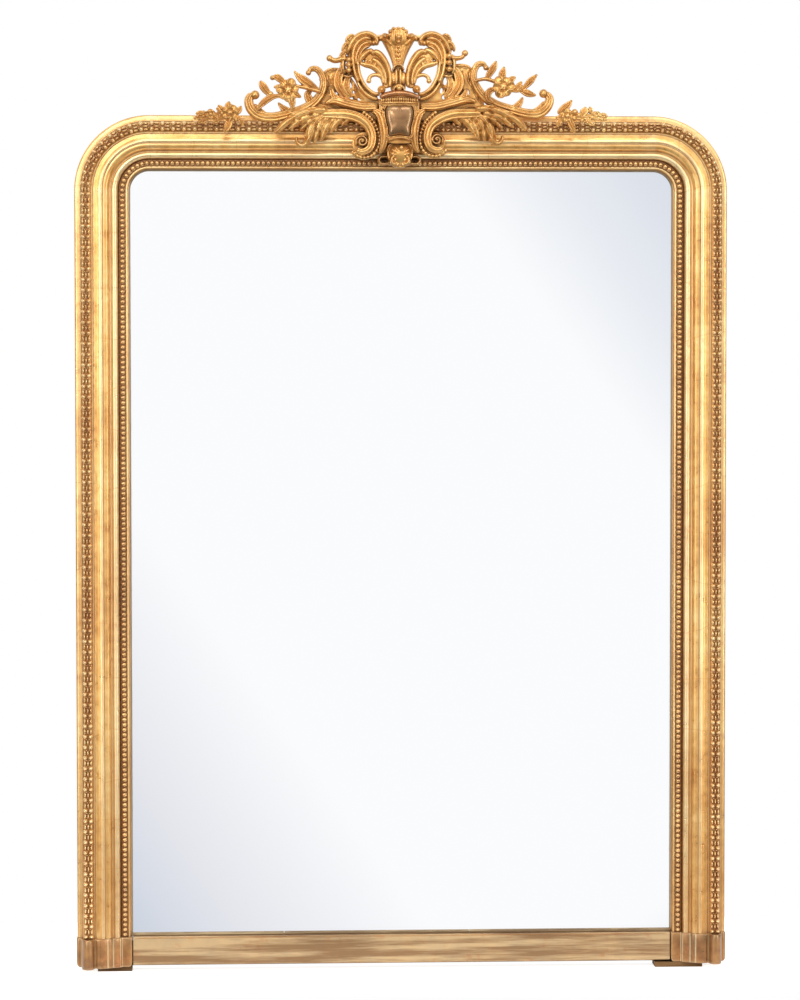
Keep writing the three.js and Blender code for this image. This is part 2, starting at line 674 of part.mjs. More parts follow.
function buildHeadScrolls() {
  const left = [
    carve([
      [-47, 124, 3.6], [-41, 133, 5.6], [-43, 143, 6.8], [-56, 148, 7], [-75, 142, 7.4],
      [-88, 129, 7.4], [-94, 113, 7.2], [-96, 95, 6.6], [-92, 73, 4],
    ], SCROLL_BACK, LAYER, ROLL),
    carve([
      [-60, 139, 3], [-75, 131, 5.6], [-84, 114, 6], [-84, 88, 6], [-77, 62, 5.6], [-66, 46, 5.6],
      [-44, 32, 6],
    ], SCROLL_BACK, LAYER, FLUTE),
    boss(-51, 132, 7.5, SCROLL_BACK, LAYER),
    carve([[-72, 106, 2.4], [-75, 121, 5.4], [-57, 132, 3.6]], SCROLL_BACK, LAYER - 2),
    carve([[-97, 112, 4], [-107, 121, 1]], SCROLL_BACK, LAYER - 3),
    carve([[-96, 102, 6], [-112, 100, 5], [-129, 104, 5.6]], SCROLL_BACK, LAYER - 2, ROLL),
    carve([[-99, 90, 4], [-110, 77, 7.5], [-112, 59, 8.5], [-106, 42, 8], [-92, 27, 5]],
      SCROLL_BACK, LAYER - 2),
    carve([[-134, 23, 2.5], [-110, 23, 4.6], [-62, 25, 6], [-40, 29, 6]], SCROLL_BACK, LAYER - 2, ROLL),
  ];
  const right = [
    carve([
      [40, 124, 3.6], [34, 133, 5.6], [36, 143, 6.8], [49, 148, 7], [68, 142, 7.4],
      [81, 129, 7.4], [87, 113, 7.2], [89, 95, 6.6], [85, 73, 4],
    ], SCROLL_BACK, LAYER, ROLL),
    carve([
      [53, 139, 3], [68, 131, 5.6], [77, 114, 6], [77, 88, 6], [70, 62, 5.6], [59, 46, 5.6],
      [37, 32, 6],
    ], SCROLL_BACK, LAYER, FLUTE),
    boss(44, 132, 7.5, SCROLL_BACK, LAYER),
    carve([[65, 106, 2.4], [68, 121, 5.4], [50, 132, 3.6]], SCROLL_BACK, LAYER - 2),
    carve([[90, 104, 6], [106, 105, 4.4], [117, 114, 4]], SCROLL_BACK, LAYER - 2, ROLL),
    carve([[92, 90, 4], [103, 78, 7.5], [105, 61, 8.5], [99, 44, 8], [85, 28, 5]],
      SCROLL_BACK, LAYER - 2),
    carve([[134, 25, 2.5], [110, 26, 4.6], [58, 26, 6], [36, 30, 6]], SCROLL_BACK, LAYER - 2, ROLL),
  ];
  place('c_scroll_left', toGeometry(join(left)), GILT);
  place('c_scroll_right', toGeometry(join(right)), GILT);
}

// ---------------------------------------------------------------- crest: plumes, cornice and shield

function buildPlumes() {
  const centre = [
    carve([[-4, 44, 8], [-4, 70, 9], [-5, 92, 13], [-5, 115, 20], [-5, 137, 28]], SCROLL_BACK, LAYER, FLUTE),
    carve([[-4, 122, 9], [-4, 138, 14], [-4, 149, 16.5], [-4, 161, 8]], SCROLL_BACK, LAYER + 5, ROLL),
    boss(-28.5, 142, 6.6, SCROLL_BACK, LAYER + 2),
    boss(19.5, 142, 6.6, SCROLL_BACK, LAYER + 2),
    carve([[-4, 64, 6], [-4, 76, 7.5], [-4, 88, 4]], SCROLL_BACK, LAYER + 4, ROLL),
  ];
  const left = [
    carve([[-20, 48, 6], [-23, 72, 9], [-31, 91, 12], [-45, 105, 15], [-54, 108, 14]],
      LEAF_BACK, LAYER - 1, FLUTE),
    carve([[-30, 103, 4], [-39, 113, 6], [-50, 117, 5.5]], LEAF_BACK, LAYER, ROLL),
    carve([[-48, 101, 7], [-63, 100, 8], [-75, 92, 2]], LEAF_BACK, LAYER - 2),
    carve([[-28, 65, 3.4], [-46, 75, 3.4], [-58, 63, 3.8]], LEAF_BACK, LAYER / 2, ROLL),
  ];
  const right = [
    carve([[14, 48, 6], [15, 72, 9], [23, 92, 12], [37, 107, 15], [47, 110, 14]],
      LEAF_BACK, LAYER - 1, FLUTE),
    carve([[22, 104, 4], [31, 115, 6], [42, 119, 5.5]], LEAF_BACK, LAYER, ROLL),
    carve([[41, 103, 7], [56, 102, 8], [69, 94, 2]], LEAF_BACK, LAYER - 2),
    carve([[21, 65, 3.4], [38, 75, 3.4], [50, 65, 3.8]], LEAF_BACK, LAYER / 2, ROLL),
  ];
  place('plume_centre', toGeometry(join(centre)), GILT);
  place('plume_left', toGeometry(join(left)), GILT);
  place('plume_right', toGeometry(join(right)), GILT);
}

function buildCornice() {
  const parts = [
    carve([[-40, 32, 5], [-24, 40, 6], [-3, 43.5, 7], [18, 40, 6], [34, 33, 5]], LEAF_BACK, LAYER, ROLL),
    carve([[-37, 25, 6], [-20, 29, 9], [-3, 30, 10], [14, 29, 9], [31, 25, 6]], LEAF_BACK, LAYER - 3, ROLL),
    boss(-35, 47, 8, LEAF_BACK),
    boss(28, 48, 8, LEAF_BACK),
    boss(-3, 51, 8.5, LEAF_BACK, LAYER),
  ];
  place('cornice', toGeometry(join(parts)), GILT);
}

function buildCartouche() {
  const plate = [
    [-37, 27], [-34, 8], [-30, -12], [-27, -38], [-22, -43.5],
    [16, -43.5], [21, -38], [24, -12], [28, 8], [31, 27],
  ];
  const parts = [
    board(lower(plate), SCROLL_BACK, SCROLL_BACK + LAYER),
    carve([[-43, 10, 3], [-36, 0, 6], [-31, -18, 7], [-29.5, -38, 7], [-33, -58, 4]],
      SCROLL_BACK, 2 * LAYER, ROLL),
    carve([[37, 10, 3], [30, 0, 6], [25, -18, 7], [23.5, -38, 7], [27, -58, 4]],
      SCROLL_BACK, 2 * LAYER, ROLL),
    carve([[-26, -39.5, 2.5], [-3, -39.5, 3.4], [20, -39.5, 2.5]], SCROLL_BACK, 2 * LAYER, ROLL),
  ];
  place('cartouche', toGeometry(join(parts)), GILT);
  place('shield', tidy(shieldDome()), BURNISHED);
}

// The shield narrows downwards and swells from its rim to a flat crown.
function shieldDome() {
  const middle = [-3, -8];
  const rim = [
    [-27, 11], [-23.5, 17], [-14, 19.5], [-3, 18.5], [8, 19.5], [17.5, 17], [21, 11],
    [18, -8], [14.5, -24], [12, -34.5], [-3, -33.5], [-18, -34.5], [-20.5, -24], [-24, -8],
  ];
  const ring = (scale, rise) => rim.map(([x, z]) => drawn(
    middle[0] + (x - middle[0]) * scale,
    middle[1] + (z - middle[1]) * scale,
    LEAF_BACK + rise,
  ));
  return loft([ring(0.97, 0), ring(1, 3), ring(0.85, 9), ring(0.5, 12.5)]);
}

// A domed shell with a rolled lip, a scalloped foot and a curl on each side.
function buildPendant(room) {
  const deep = SCRIBE_BACK;
  const reach = SCROLL_BACK + LAYER - deep;
  const parts = [
    boss(-1, -68, 21, deep, reach),
    carve([[-19, -60, 4], [-13, -51, 4.6], [-1, -49.6, 5], [11, -51, 4.6], [17, -60, 4]], deep, reach, ROLL),
    carve([[-8, -76, 8], [-9, -86, 6], [-8, -91, 2]], deep, reach - 4, ROLL),
    carve([[6, -76, 8], [7, -86, 6], [6, -91, 2]], deep, reach - 4, ROLL),
    carve([[-14, -74, 4], [-28, -73, 4.4], [-38, -77, 4], [-39, -85, 1.5]], deep, reach, ROLL),
    carve([[12, -74, 4], [26, -73, 4.4], [36, -77, 4], [37, -85, 1.5]], deep, reach, ROLL),
    boss(-1, -60, 7, deep, reach + 4),
    boss(-10, -77, 7, deep, reach + 4),
    boss(8, -77, 7, deep, reach + 4),
  ];
  place('pendant', toGeometry(join(parts).subtract(room)), GILT);
}

// ---------------------------------------------------------------- crest: acanthus, flowers, garlands

// Each wing is a volute that springs into an arch and breaks into fronds.
function acanthus(spiral, fronds, crossing, curl, hub, room) {
  const parts = [
    carve(spiral, SCROLL_BACK, 2 * LAYER, FLUTE),
    ...fronds.map((frond) => carve(frond, SCROLL_BACK, 2 * LAYER - 4)),
    carve(crossing, LEAF_BACK, LAYER, FLUTE),
  ];
  const deep = [
    carve(curl, SCRIBE_BACK, LEAF_BACK - SCRIBE_BACK),
    board(hub, SCRIBE_BACK, LEAF_BACK - LAYER / 2),
  ];
  return toGeometry(join(parts).add(join(deep)).subtract(room));
}

function buildAcanthus(room) {
  const hub = (x, z, radius) => lower(arcPoints(x, z, radius, 0, 2 * Math.PI, HUB_SIDES).slice(1));
  const left = acanthus(
    [
      [-146, 4, 9], [-120, 4.5, 11], [-94, 3, 11.5], [-70, -6, 11.4], [-53, -24, 10.6], [-48, -44, 9.6],
      [-57, -63, 8.2], [-75, -65, 6.8], [-85.5, -51, 5.8], [-78, -38, 5], [-64, -39, 4.4],
      [-62, -49, 3.6], [-70, -54, 3.5], [-75, -48, 3],
    ],
    [
      [[-102, -4, 5], [-117, -12, 6.6], [-127, -29, 1.5]],
      [[-116, -3, 6], [-131, -13, 7], [-141, -27, 6.6], [-149, -45, 1.5]],
      [[-128, -1, 6], [-145, -13, 8], [-154, -28, 7], [-159, -45, 1.5]],
      [[-140, 2, 7], [-156, -10, 9.5], [-165, -27, 9], [-169, -43, 6], [-180, -51, 4.4], [-188, -38, 1.5]],
    ],
    [[-138, 6, 7], [-165, 2, 10.5], [-190, -8, 10.5], [-212, -19, 8], [-232, -31, 3]],
    [[-162, -30, 5], [-168, -43, 5], [-177, -49, 3]],
    hub(-66, -49, 21),
    room,
  );
  const right = acanthus(
    [
      [146, 6, 9], [120, 5.5, 11], [94, 4, 11.5], [69, -5, 11.4], [50, -22, 10.6], [45, -42, 9.6],
      [53, -60, 8.2], [70, -62, 6.8], [80.5, -48, 5.8], [73, -35, 5], [59, -36, 4.4],
      [57, -46, 3.6], [65, -51, 3.5], [70, -45, 3],
    ],
    [
      [[104, -2, 5], [119, -9, 6.6], [133, -28, 1.5]],
      [[116, -1, 6], [130, -11, 7], [139, -24, 6.6], [145, -42, 1.5]],
      [[128, 1, 6], [143, -11, 8], [151, -25, 7], [156, -43, 1.5]],
      [[140, 4, 7], [155, -8, 9.5], [162, -24, 9], [165, -40, 6], [176, -48, 4.4], [184, -34, 1.5]],
    ],
    [[138, 9, 7], [167, 6, 10.5], [191, -4, 10.5], [211, -13, 8], [229, -25, 3]],
    [[158, -28, 5], [164, -40, 5], [173, -46, 3]],
    hub(62, -46, 19),
    room,
  );
  place('acanthus_left', left, GILT);
  place('acanthus_right', right, GILT);
}

function buildFlowerSprays() {
  const left = [
    rosette(-203, 46, 22, 7, LEAF_BACK, LAYER),
    carve([[-210, 56, 5], [-216, 63, 6], [-224, 69, 7], [-230, 71, 2]], LEAF_BACK, LAYER - 2, ROLL),
    carve([[-150, 46, 4], [-165, 56, 8], [-178, 66, 8], [-188, 74, 4], [-192, 80, 1]], LEAF_BACK, LAYER - 2),
    carve([[-190, 54, 5], [-170, 50, 5], [-156, 46, 4], [-146, 44, 3]], LEAF_BACK, LAYER - 4),
    carve([[-192, 42, 5], [-186, 37, 4.5], [-180, 33, 1]], LEAF_BACK, LAYER - 3),
    carve([[-200, 38, 6], [-196, 26, 7], [-195, 12, 3]], LEAF_BACK, LAYER - 2),
    carve([[-212, 36, 4], [-226, 35, 4], [-239, 30, 6], [-250, 21, 5], [-259, 11, 2]], LEAF_BACK, LAYER - 3),
    carve([[-232, 34, 3], [-242, 45, 6.5], [-249, 55, 7], [-253, 62, 2]], LEAF_BACK, LAYER - 3),
    boss(-234, 39, 5, LEAF_BACK),
  ];
  const right = [
    rosette(184, 53, 21, 6, LEAF_BACK, LAYER),
    carve([[154, 66, 4], [160, 76, 6], [167, 88, 6.5], [172, 99, 1]], LEAF_BACK, LAYER - 2),
    carve([[134, 64, 3], [152, 67, 4.5], [178, 59, 6]], LEAF_BACK, LAYER - 4),
    carve([[180, 64, 6], [184, 77, 7], [186, 89, 1]], LEAF_BACK, LAYER - 2),
    carve([[192, 60, 5], [200, 67, 6], [207, 71, 1.5]], LEAF_BACK, LAYER - 3),
    carve([[168, 50, 6], [158, 43, 6.5], [159, 31, 5], [168, 25, 2]], LEAF_BACK, LAYER - 3),
    carve([[196, 47, 4], [210, 46, 3.5], [222, 52, 4], [234, 64, 6], [246, 75, 1]], LEAF_BACK, LAYER - 4),
    carve([[216, 47, 3], [228, 42, 6.5], [238, 39, 4], [244, 38, 1]], LEAF_BACK, LAYER - 4),
    carve([[207, 47, 3], [213, 56, 5], [218, 62, 1.5]], LEAF_BACK, LAYER - 4),
  ];
  place('flower_spray_left', toGeometry(join(left)), GILT);
  place('flower_spray_right', toGeometry(join(right)), GILT);
}

function buildGarlands() {
  const left = [
    carve([[-372, -4, 2.5], [-350, 0, 4], [-318, 1, 6], [-285, -3, 2]], SCROLL_BACK, LAYER - 4, ROLL),
    rosette(-342, 3, 9, 5, SCROLL_BACK, LAYER - 2),
    rosette(-307, 6, 15, 5, SCROLL_BACK, LAYER),
    carve([[-312, 12, 6], [-309, 19, 6], [-308, 25, 1]], SCROLL_BACK, LAYER - 3),
    carve([[-316, 8, 5], [-323, 14, 4], [-327, 17, 1]], SCROLL_BACK, LAYER - 4),
    carve([[-298, 4, 6], [-290, 12, 4], [-287, 17, 1]], SCROLL_BACK, LAYER - 4),
    carve([[-306, -4, 7], [-311, -17, 7], [-318, -30, 1]], SCROLL_BACK, LAYER - 2),
  ];
  const right = [
    carve([[280, -1, 2], [305, 1, 6], [345, 0, 5], [374, -5, 2.5]], SCROLL_BACK, LAYER - 4, ROLL),
    carve([[284, 6, 5], [295, 15, 7], [303, 22, 5], [309, 29, 1]], SCROLL_BACK, LAYER - 2),
    rosette(301, 2, 12, 5, SCROLL_BACK, LAYER),
    boss(315, 9, 6, SCROLL_BACK, LAYER - 3),
    carve([[327, 3, 7], [333, 12, 7], [334, 18, 1]], SCROLL_BACK, LAYER - 2),
    rosette(353, 2, 8, 5, SCROLL_BACK, LAYER - 2),
    carve([[304, -4, 6], [311, -18, 7], [316, -30, 1]], SCROLL_BACK, LAYER - 3),
  ];
  place('garland_left', toGeometry(join(left)), GILT);
  place('garland_right', toGeometry(join(right)), GILT);
}

// ---------------------------------------------------------------- assembly

buildMouldings();
buildStrings();
buildPlinths();
buildRailFront();
buildCarcass();
buildGlass();
buildBattens();
buildPackers();
buildHangers();
buildPanel();
buildSpine();
buildSideScrolls();
buildHeadScrolls();
buildPlumes();
buildCornice();
buildCartouche();
const room = mouldingRoom();
buildPendant(room);
buildAcanthus(room);
buildFlowerSprays();
buildGarlands();

export default model;
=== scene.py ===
# Looks for a gilt overmantel mirror with a pierced, carved crest. Lengths are millimetres up to world().
# A place is (x, height above the mantel, depth in front of the wall). A crest route is a list of
# (x, height over the frame's top, half width) on the crest's own pattern, which on_pattern() sets in place.
import math
import bmesh
import bpy
import numpy as np
from mathutils import Matrix, Vector
from mathutils.geometry import tessellate_polygon

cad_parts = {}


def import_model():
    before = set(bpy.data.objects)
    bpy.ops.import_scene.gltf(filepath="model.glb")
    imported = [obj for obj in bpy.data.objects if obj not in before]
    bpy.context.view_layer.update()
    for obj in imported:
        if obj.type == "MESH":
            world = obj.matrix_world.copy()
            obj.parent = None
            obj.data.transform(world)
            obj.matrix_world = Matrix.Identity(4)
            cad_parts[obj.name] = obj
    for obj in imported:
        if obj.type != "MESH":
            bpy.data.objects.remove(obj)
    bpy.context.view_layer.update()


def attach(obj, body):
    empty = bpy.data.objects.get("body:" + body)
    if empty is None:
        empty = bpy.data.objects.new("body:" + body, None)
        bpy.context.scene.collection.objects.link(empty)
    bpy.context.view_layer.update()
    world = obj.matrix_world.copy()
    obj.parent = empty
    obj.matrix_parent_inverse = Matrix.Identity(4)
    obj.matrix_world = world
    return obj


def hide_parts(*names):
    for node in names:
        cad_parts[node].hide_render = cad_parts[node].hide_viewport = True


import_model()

# ---------------------------------------------------------------- sizes shared with the solids

HALF_WIDTH = 585.0
FRAME_TOP = 1536.0
CORNER_RADIUS = 134.0
TOP_HALF = HALF_WIDTH - CORNER_RADIUS
SPRING = FRAME_TOP - CORNER_RADIUS
MOULDING_WIDTH = 97.0
SIGHT_HALF = HALF_WIDTH - MOULDING_WIDTH
SIGHT_TOP = FRAME_TOP - MOULDING_WIDTH
SIGHT_RADIUS = CORNER_RADIUS - MOULDING_WIDTH
PACKER = 9.0
PLINTH_TOP = 63.0
PLINTH_WIDTH = 100.0
PLINTH_PROUD = 1.5
PLINTH_CORNER = 8.0
PLINTH_CORNER_RISE = 9.0
RAIL_LIFT = 3.0
RAIL_HALF = 485.0
ORIGIN_HEIGHT = 36.0
BATTEN_HEIGHTS = (36.0, 1384.0)
SCREW_DEPTH = 0.95
GLASS_FRONT = 27.4
MOULDING_BACK = 27.6
PEARL_INSET, PEARL_PITCH, PEARL_SEAT = 85.2, 9.0, 11.0
BAND_INSET, BAND_PITCH, BAND_CROWN = 21.0, 19.0, 34.2
PANEL_BACK = 63.9
SCROLL_BACK = 76.2
LEAF_BACK = 88.5
SCRIBE_BACK = 37.3
LAYER = 12.0
PANEL_THICKNESS = 8.5
SINK = 1.0
SMOOTHING = 5
FOCAL_PIXELS, PICTURE_PIXELS, FILM = 3601.0, 1000.0, 36.0
SIDE_LENGTH = SPRING - PLINTH_TOP
SQUARE = 1170.0 / 1186.0
PATTERN_MIDDLE = 4.6
PATTERN_DROP = 4.0
SHIELD_RIM = [[-27.5, 9], [-24.5, 16.5], [-15, 19.5], [-3, 18.8], [9, 19.5], [18.5, 16.5], [21.5, 9], [20.5, -6],
              [17, -20], [14.5, -34.5], [-3, -33.5], [-20.5, -34.5], [-23, -20], [-26.5, -6]]


def world(places):
    """Places (x, height, depth) in mm to metres in the row frame."""
    p = np.asarray(places, float)
    return np.stack([p[..., 0], -p[..., 2], p[..., 1] - ORIGIN_HEIGHT], -1) / 1000.0


# ---------------------------------------------------------------- mesh building

class Shell:
    """Gathers grids of places into one mesh."""

    def __init__(self):
        self.places, self.faces, self.flow, self.count = [], [], [], 0

    def put(self, places, flow=None):
        """Adds places, with their (along, inset, rise) if given, and returns the number of the first."""
        places = np.asarray(places, float).reshape(-1, 3)
        self.places.append(places)
        self.flow.append(np.zeros_like(places) if flow is None else np.asarray(flow, float).reshape(-1, 3))
        self.count += len(places)
        return self.count - len(places)

    def grid(self, rows, ends=True, flow=None):
        """Skins rows of places into a tube, closed at its ends unless told otherwise."""
        n, m = np.shape(rows)[:2]
        base = self.put(rows, flow)
        i, j = np.meshgrid(np.arange(n - 1), np.arange(m), indexing="ij")
        k = (j + 1) % m
        quads = np.stack([i * m + j, (i + 1) * m + j, (i + 1) * m + k, i * m + k], -1).reshape(-1, 4) + base
        self.faces.extend(quads.tolist())
        if ends:
            self.faces.append([base + q for q in range(m)])
            self.faces.append([base + (n - 1) * m + q for q in range(m - 1, -1, -1)])
        return self

    def ball(self, centre, radii, sides=10, rows=6, turn=0.0):
        """An egg with semi-axes along x, height and depth, turned in the face plane."""
        a = np.linspace(0, math.pi, rows + 1)[:, None]
        b = np.linspace(0, 2 * math.pi, sides, endpoint=False)[None, :]
        shrink = np.clip(np.sin(a), 0.04, 1)
        x, z = radii[0] * shrink * np.cos(b), radii[1] * shrink * np.sin(b)
        y = radii[2] * np.cos(a) * np.ones_like(b)
        c, s = math.cos(turn), math.sin(turn)
        return self.grid(np.stack([centre[0] + c * x - s * z, centre[1] + s * x + c * z, centre[2] + y], -1))

    def mesh(self, name):
        data = bpy.data.meshes.new(name)
        data.from_pydata(world(np.concatenate(self.places)).tolist(), [], self.faces)
        flow = np.concatenate(self.flow)
        if np.any(flow):
            data.attributes.new("flow", "FLOAT_VECTOR", "POINT").data.foreach_set("vector", flow.ravel())
        data.validate()
        outward(data)
        return data


def outward(data, weld=False):
    """Turns every face outward, and joins doubled points where asked."""
    work = bmesh.new()
    work.from_mesh(data)
    if weld:
        bmesh.ops.remove_doubles(work, verts=work.verts, dist=1e-6)
    bmesh.ops.recalc_face_normals(work, faces=work.faces)
    work.to_mesh(data)
    work.free()


def piece(name, data, material, nodes=(), angle=None):
    """Shows a mesh on the frame's body in place of the nodes, with edges sharper than the angle kept."""
    obj = bpy.data.objects.new(name, data)
    bpy.context.scene.collection.objects.link(obj)
    data.materials.clear()
    data.materials.append(material)
    data.shade_smooth()
    if angle is not None:
        data.set_sharp_from_angle(angle=math.radians(angle))
    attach(obj, "frame")
    if nodes:
        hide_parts(*nodes)


def on_pattern(shell):
    """The crest is drawn on squares whose middle stands a little right of and above the frame's top middle."""
    for places in shell.places:
        places[:, 0] = SQUARE * (places[:, 0] - PATTERN_MIDDLE)
        places[:, 1] = FRAME_TOP + SQUARE * (places[:, 1] - FRAME_TOP - PATTERN_DROP)
    return shell


def carved(name, shell, material, nodes, voxel=0.8):
    """One skin round all the shapes of a carving, softened as gesso and leaf soften it."""
    on_pattern(shell)
    rough = bpy.data.objects.new(name + "_rough", shell.mesh(name + "_rough"))
    bpy.context.scene.collection.objects.link(rough)
    skin = rough.modifiers.new("skin", "REMESH")
    skin.mode, skin.voxel_size = "VOXEL", voxel / 1000.0
    soft = rough.modifiers.new("soft", "SMOOTH")
    soft.factor, soft.iterations = 0.5, SMOOTHING
    graph = bpy.context.evaluated_depsgraph_get()
    data = bpy.data.meshes.new_from_object(rough.evaluated_get(graph))
    data.name = name
    old = rough.data
    bpy.data.objects.remove(rough)
    bpy.data.meshes.remove(old)
    piece(name, data, material, nodes)


def gilded(node, shell, voxel=0.8):
    """The carving that takes the place of one gilt node."""
    carved(node + "_gilt", shell, GILT, [node], voxel)


# ---------------------------------------------------------------- carving tools
# A section gives the share of the rise at u, from -1 to 1 across, and t, from 0 to 1 along.

def spread(route, step):
    """A smooth run through the route's points, evenly spaced, with its direction and share."""
    p = np.asarray(route, float)
    gaps = np.maximum(np.linalg.norm(np.diff(p[:, :2], axis=0), axis=1), 1e-6) ** 0.5
    knots = np.concatenate([[0], np.cumsum(gaps)])
    before, after = 2 * p[0] - p[1], 2 * p[-1] - p[-2]
    q = np.vstack([before, p, after])
    t = np.concatenate([[-gaps[0]], knots, [knots[-1] + gaps[-1]]])
    fine = []
    for i in range(1, len(q) - 2):
        u = np.linspace(t[i], t[i + 1], 14, endpoint=i == len(q) - 3)[:, None]
        a1 = (t[i] - u) / (t[i] - t[i - 1]) * q[i - 1] + (u - t[i - 1]) / (t[i] - t[i - 1]) * q[i]
        a2 = (t[i + 1] - u) / (t[i + 1] - t[i]) * q[i] + (u - t[i]) / (t[i + 1] - t[i]) * q[i + 1]
        a3 = (t[i + 2] - u) / (t[i + 2] - t[i + 1]) * q[i + 1] + (u - t[i + 1]) / (t[i + 2] - t[i + 1]) * q[i + 2]
        b1 = (t[i + 1] - u) / (t[i + 1] - t[i - 1]) * a1 + (u - t[i - 1]) / (t[i + 1] - t[i - 1]) * a2
        b2 = (t[i + 2] - u) / (t[i + 2] - t[i]) * a2 + (u - t[i]) / (t[i + 2] - t[i]) * a3
        fine.append((t[i + 1] - u) / (t[i + 1] - t[i]) * b1 + (u - t[i]) / (t[i + 1] - t[i]) * b2)
    fine = np.vstack(fine)
    length = np.concatenate([[0], np.cumsum(np.linalg.norm(np.diff(fine[:, :2], axis=0), axis=1))])
    count = max(4, int(length[-1] / step) + 1)
    at = np.linspace(0, length[-1], count)
    even = np.stack([np.interp(at, length, fine[:, c]) for c in range(fine.shape[1])], -1)
    along = np.gradient(even[:, :2], axis=0)
    along /= np.maximum(np.linalg.norm(along, axis=1, keepdims=True), 1e-9)
    return even, along, at


def roll(u, t):
    """Round, as a rod."""
    return np.sqrt(np.clip(1 - u * u, 0, 1))


def reeds(u, t):
    """Three reeds."""
    return np.clip(1 - u * u, 0, 1) ** 0.4 * (0.72 + 0.28 * np.abs(np.cos(1.5 * math.pi * u)))


def leaf(u, t):
    """A midrib with lobes that fall away."""
    return np.interp(np.abs(u), [0, 0.1, 0.34, 0.72, 0.92, 1], [1, 0.86, 0.5, 0.74, 0.5, 0])


def keel(u, t):
    """A sharp ridge."""
    return np.interp(np.abs(u), [0, 0.12, 0.6, 1], [1, 0.9, 0.5, 0])


def cup(u, t):
    """Raised edges round a hollow."""
    return np.interp(np.abs(u), [0, 0.45, 0.8, 1], [0.42, 0.6, 0.9, 0.3])


def ribbon(u, t):
    """A broad rib with a groove near each edge."""
    return np.interp(np.abs(u), [0, 0.2, 0.38, 0.5, 0.62, 0.84, 1], [1, 0.97, 0.86, 0.68, 0.86, 0.74, 0])


def four_reeds(u, t):
    """Four reeds."""
    return np.clip(1 - u * u, 0, 1) ** 0.35 * (0.68 + 0.32 * np.abs(np.cos(2.0 * math.pi * u)))


def five_reeds(u, t):
    """Five reeds with a full edge."""
    return np.clip(1 - u ** 6, 0, 1) ** 0.5 * (0.80 + 0.20 * np.abs(np.cos(2.5 * math.pi * u)))


def veined(u, t):
    """A leaf with veins that fade to its tip."""
    ribs = 0.10 * np.cos(5.0 * math.pi * np.abs(u)) * (1 - t) ** 0.5
    return np.clip(np.sqrt(np.clip(1 - u * u, 0, 1)) * (0.9 + ribs) - 0.10 * (np.abs(np.abs(u) - 0.5) < 0.16), 0, 1)


def sweep(shell, route, back, rise, section=roll, lobes=0, bite=0.32, slant=0.12, lift=0.0, blunt=0.8, step=1.6):
    """Carves a section along a route of (x, height over the frame, half width)."""
    run, along, at = spread(route, step)
    half = run[:, 2]
    widest = half.max()
    total = at[-1]
    near, far = np.minimum(at, total * 0.5), np.minimum(total - at, total * 0.5)
    for ends, width in ((near, half[0]), (far, half[-1])):
        reach = max(width * blunt, 0.4)
        half = half * np.sqrt(np.clip(1 - np.clip(1 - ends / reach, 0, 1) ** 2, 0.02, 1))
    t = at / total
    u = np.linspace(-1, 1, 19)[None, :]
    share = np.abs(u)
    height = rise * (0.45 + 0.55 * half / widest)[:, None] * section(u, t[:, None])
    width = half[:, None] * np.ones_like(u)
    if lobes:
        phase = (lobes * (t[:, None] + slant * (1 - share))) % 1.0
        groove = np.exp(-(np.minimum(phase, 1 - phase) / 0.13) ** 2)
        height = height * (1 - 0.5 * groove * np.clip((share - 0.12) / 0.35, 0, 1))
        edge = (lobes * t[:, None]) % 1.0
        width = width * (1 - bite * share ** 2 * (1 - np.clip(edge / 0.85, 0, 1) ** 0.8) * (t[:, None] < 0.97))
    raised = lift * np.sin(math.pi * t)[:, None] if np.isscalar(lift) else np.interp(t, [0, 0.5, 1], lift)[:, None]
    across = u * width
    front = np.stack([run[:, :1] - along[:, 1:2] * across, FRAME_TOP + run[:, 1:2] + along[:, :1] * across,
                      back + height + raised], -1)
    v = np.array([0.8, 0.3, -0.3, -0.8])[None, :]
    under = v * width[:, -1:]
    base = np.stack([run[:, :1] - along[:, 1:2] * under, FRAME_TOP + run[:, 1:2] + along[:, :1] * under,
                     back + raised * 0.6 + 0 * under], -1)
    shell.grid(np.concatenate([front, base], 1))


def dome(shell, x, z, radius, back, rise=None, stretch=1.0, turn=0.0):
    shell.ball((x, FRAME_TOP + z, back), (radius, radius * stretch, rise or radius), 14, 10, turn)


def pearls_on(shell, route, back, radius, pitch):
    run, _, at = spread(route, 0.5)
    for d in np.arange(pitch / 2, at[-1], pitch):
        x, z = np.interp(d, at, run[:, 0]), np.interp(d, at, run[:, 1])
        dome(shell, x, z, radius, back)


def flower(shell, x, z, radius, petals, back, rise, turn=0.0, button=0.3):
    """Petals cupped round a button."""
    for i in range(petals):
        a = turn + 2 * math.pi * i / petals
        c, s = math.cos(a), math.sin(a)
        half = radius * math.sin(math.pi / petals) * 0.92
        reach = radius * (1 + 0.07 * math.sin(3 * i + x))
        stops = [(0.14, 0.4), (0.4, 0.78), (0.68, 1.0), (0.88, 0.8), (1.0, 0.42)]
        route = [(x + c * reach * r, z + s * reach * r, half * w) for r, w in stops]
        sweep(shell, route, back, rise * 0.62, cup, lift=(0.5, rise * 0.3, rise * 0.05), step=1.2)
    dome(shell, x, z, radius * button, back + rise * 0.25, rise * 0.75)
    for i in range(5):
        a = turn + 2 * math.pi * i / 5
        dome(shell, x + radius * 0.19 * math.cos(a), z + radius * 0.19 * math.sin(a), radius * 0.1, back + rise * 0.82)


# ---------------------------------------------------------------- runs round the frame

def side_run(dist, inset, across, mirror):
    """Up the left stile and round its corner, or the same on the right."""
    radius = CORNER_RADIUS - inset
    angle = np.clip((dist - SIDE_LENGTH) / radius, 0, math.pi / 2)
    x = -TOP_HALF - (radius - across) * np.cos(angle)
    z = PLINTH_TOP + np.minimum(dist, SIDE_LENGTH) + (radius - across) * np.sin(angle)
    return (-x if mirror else x), z


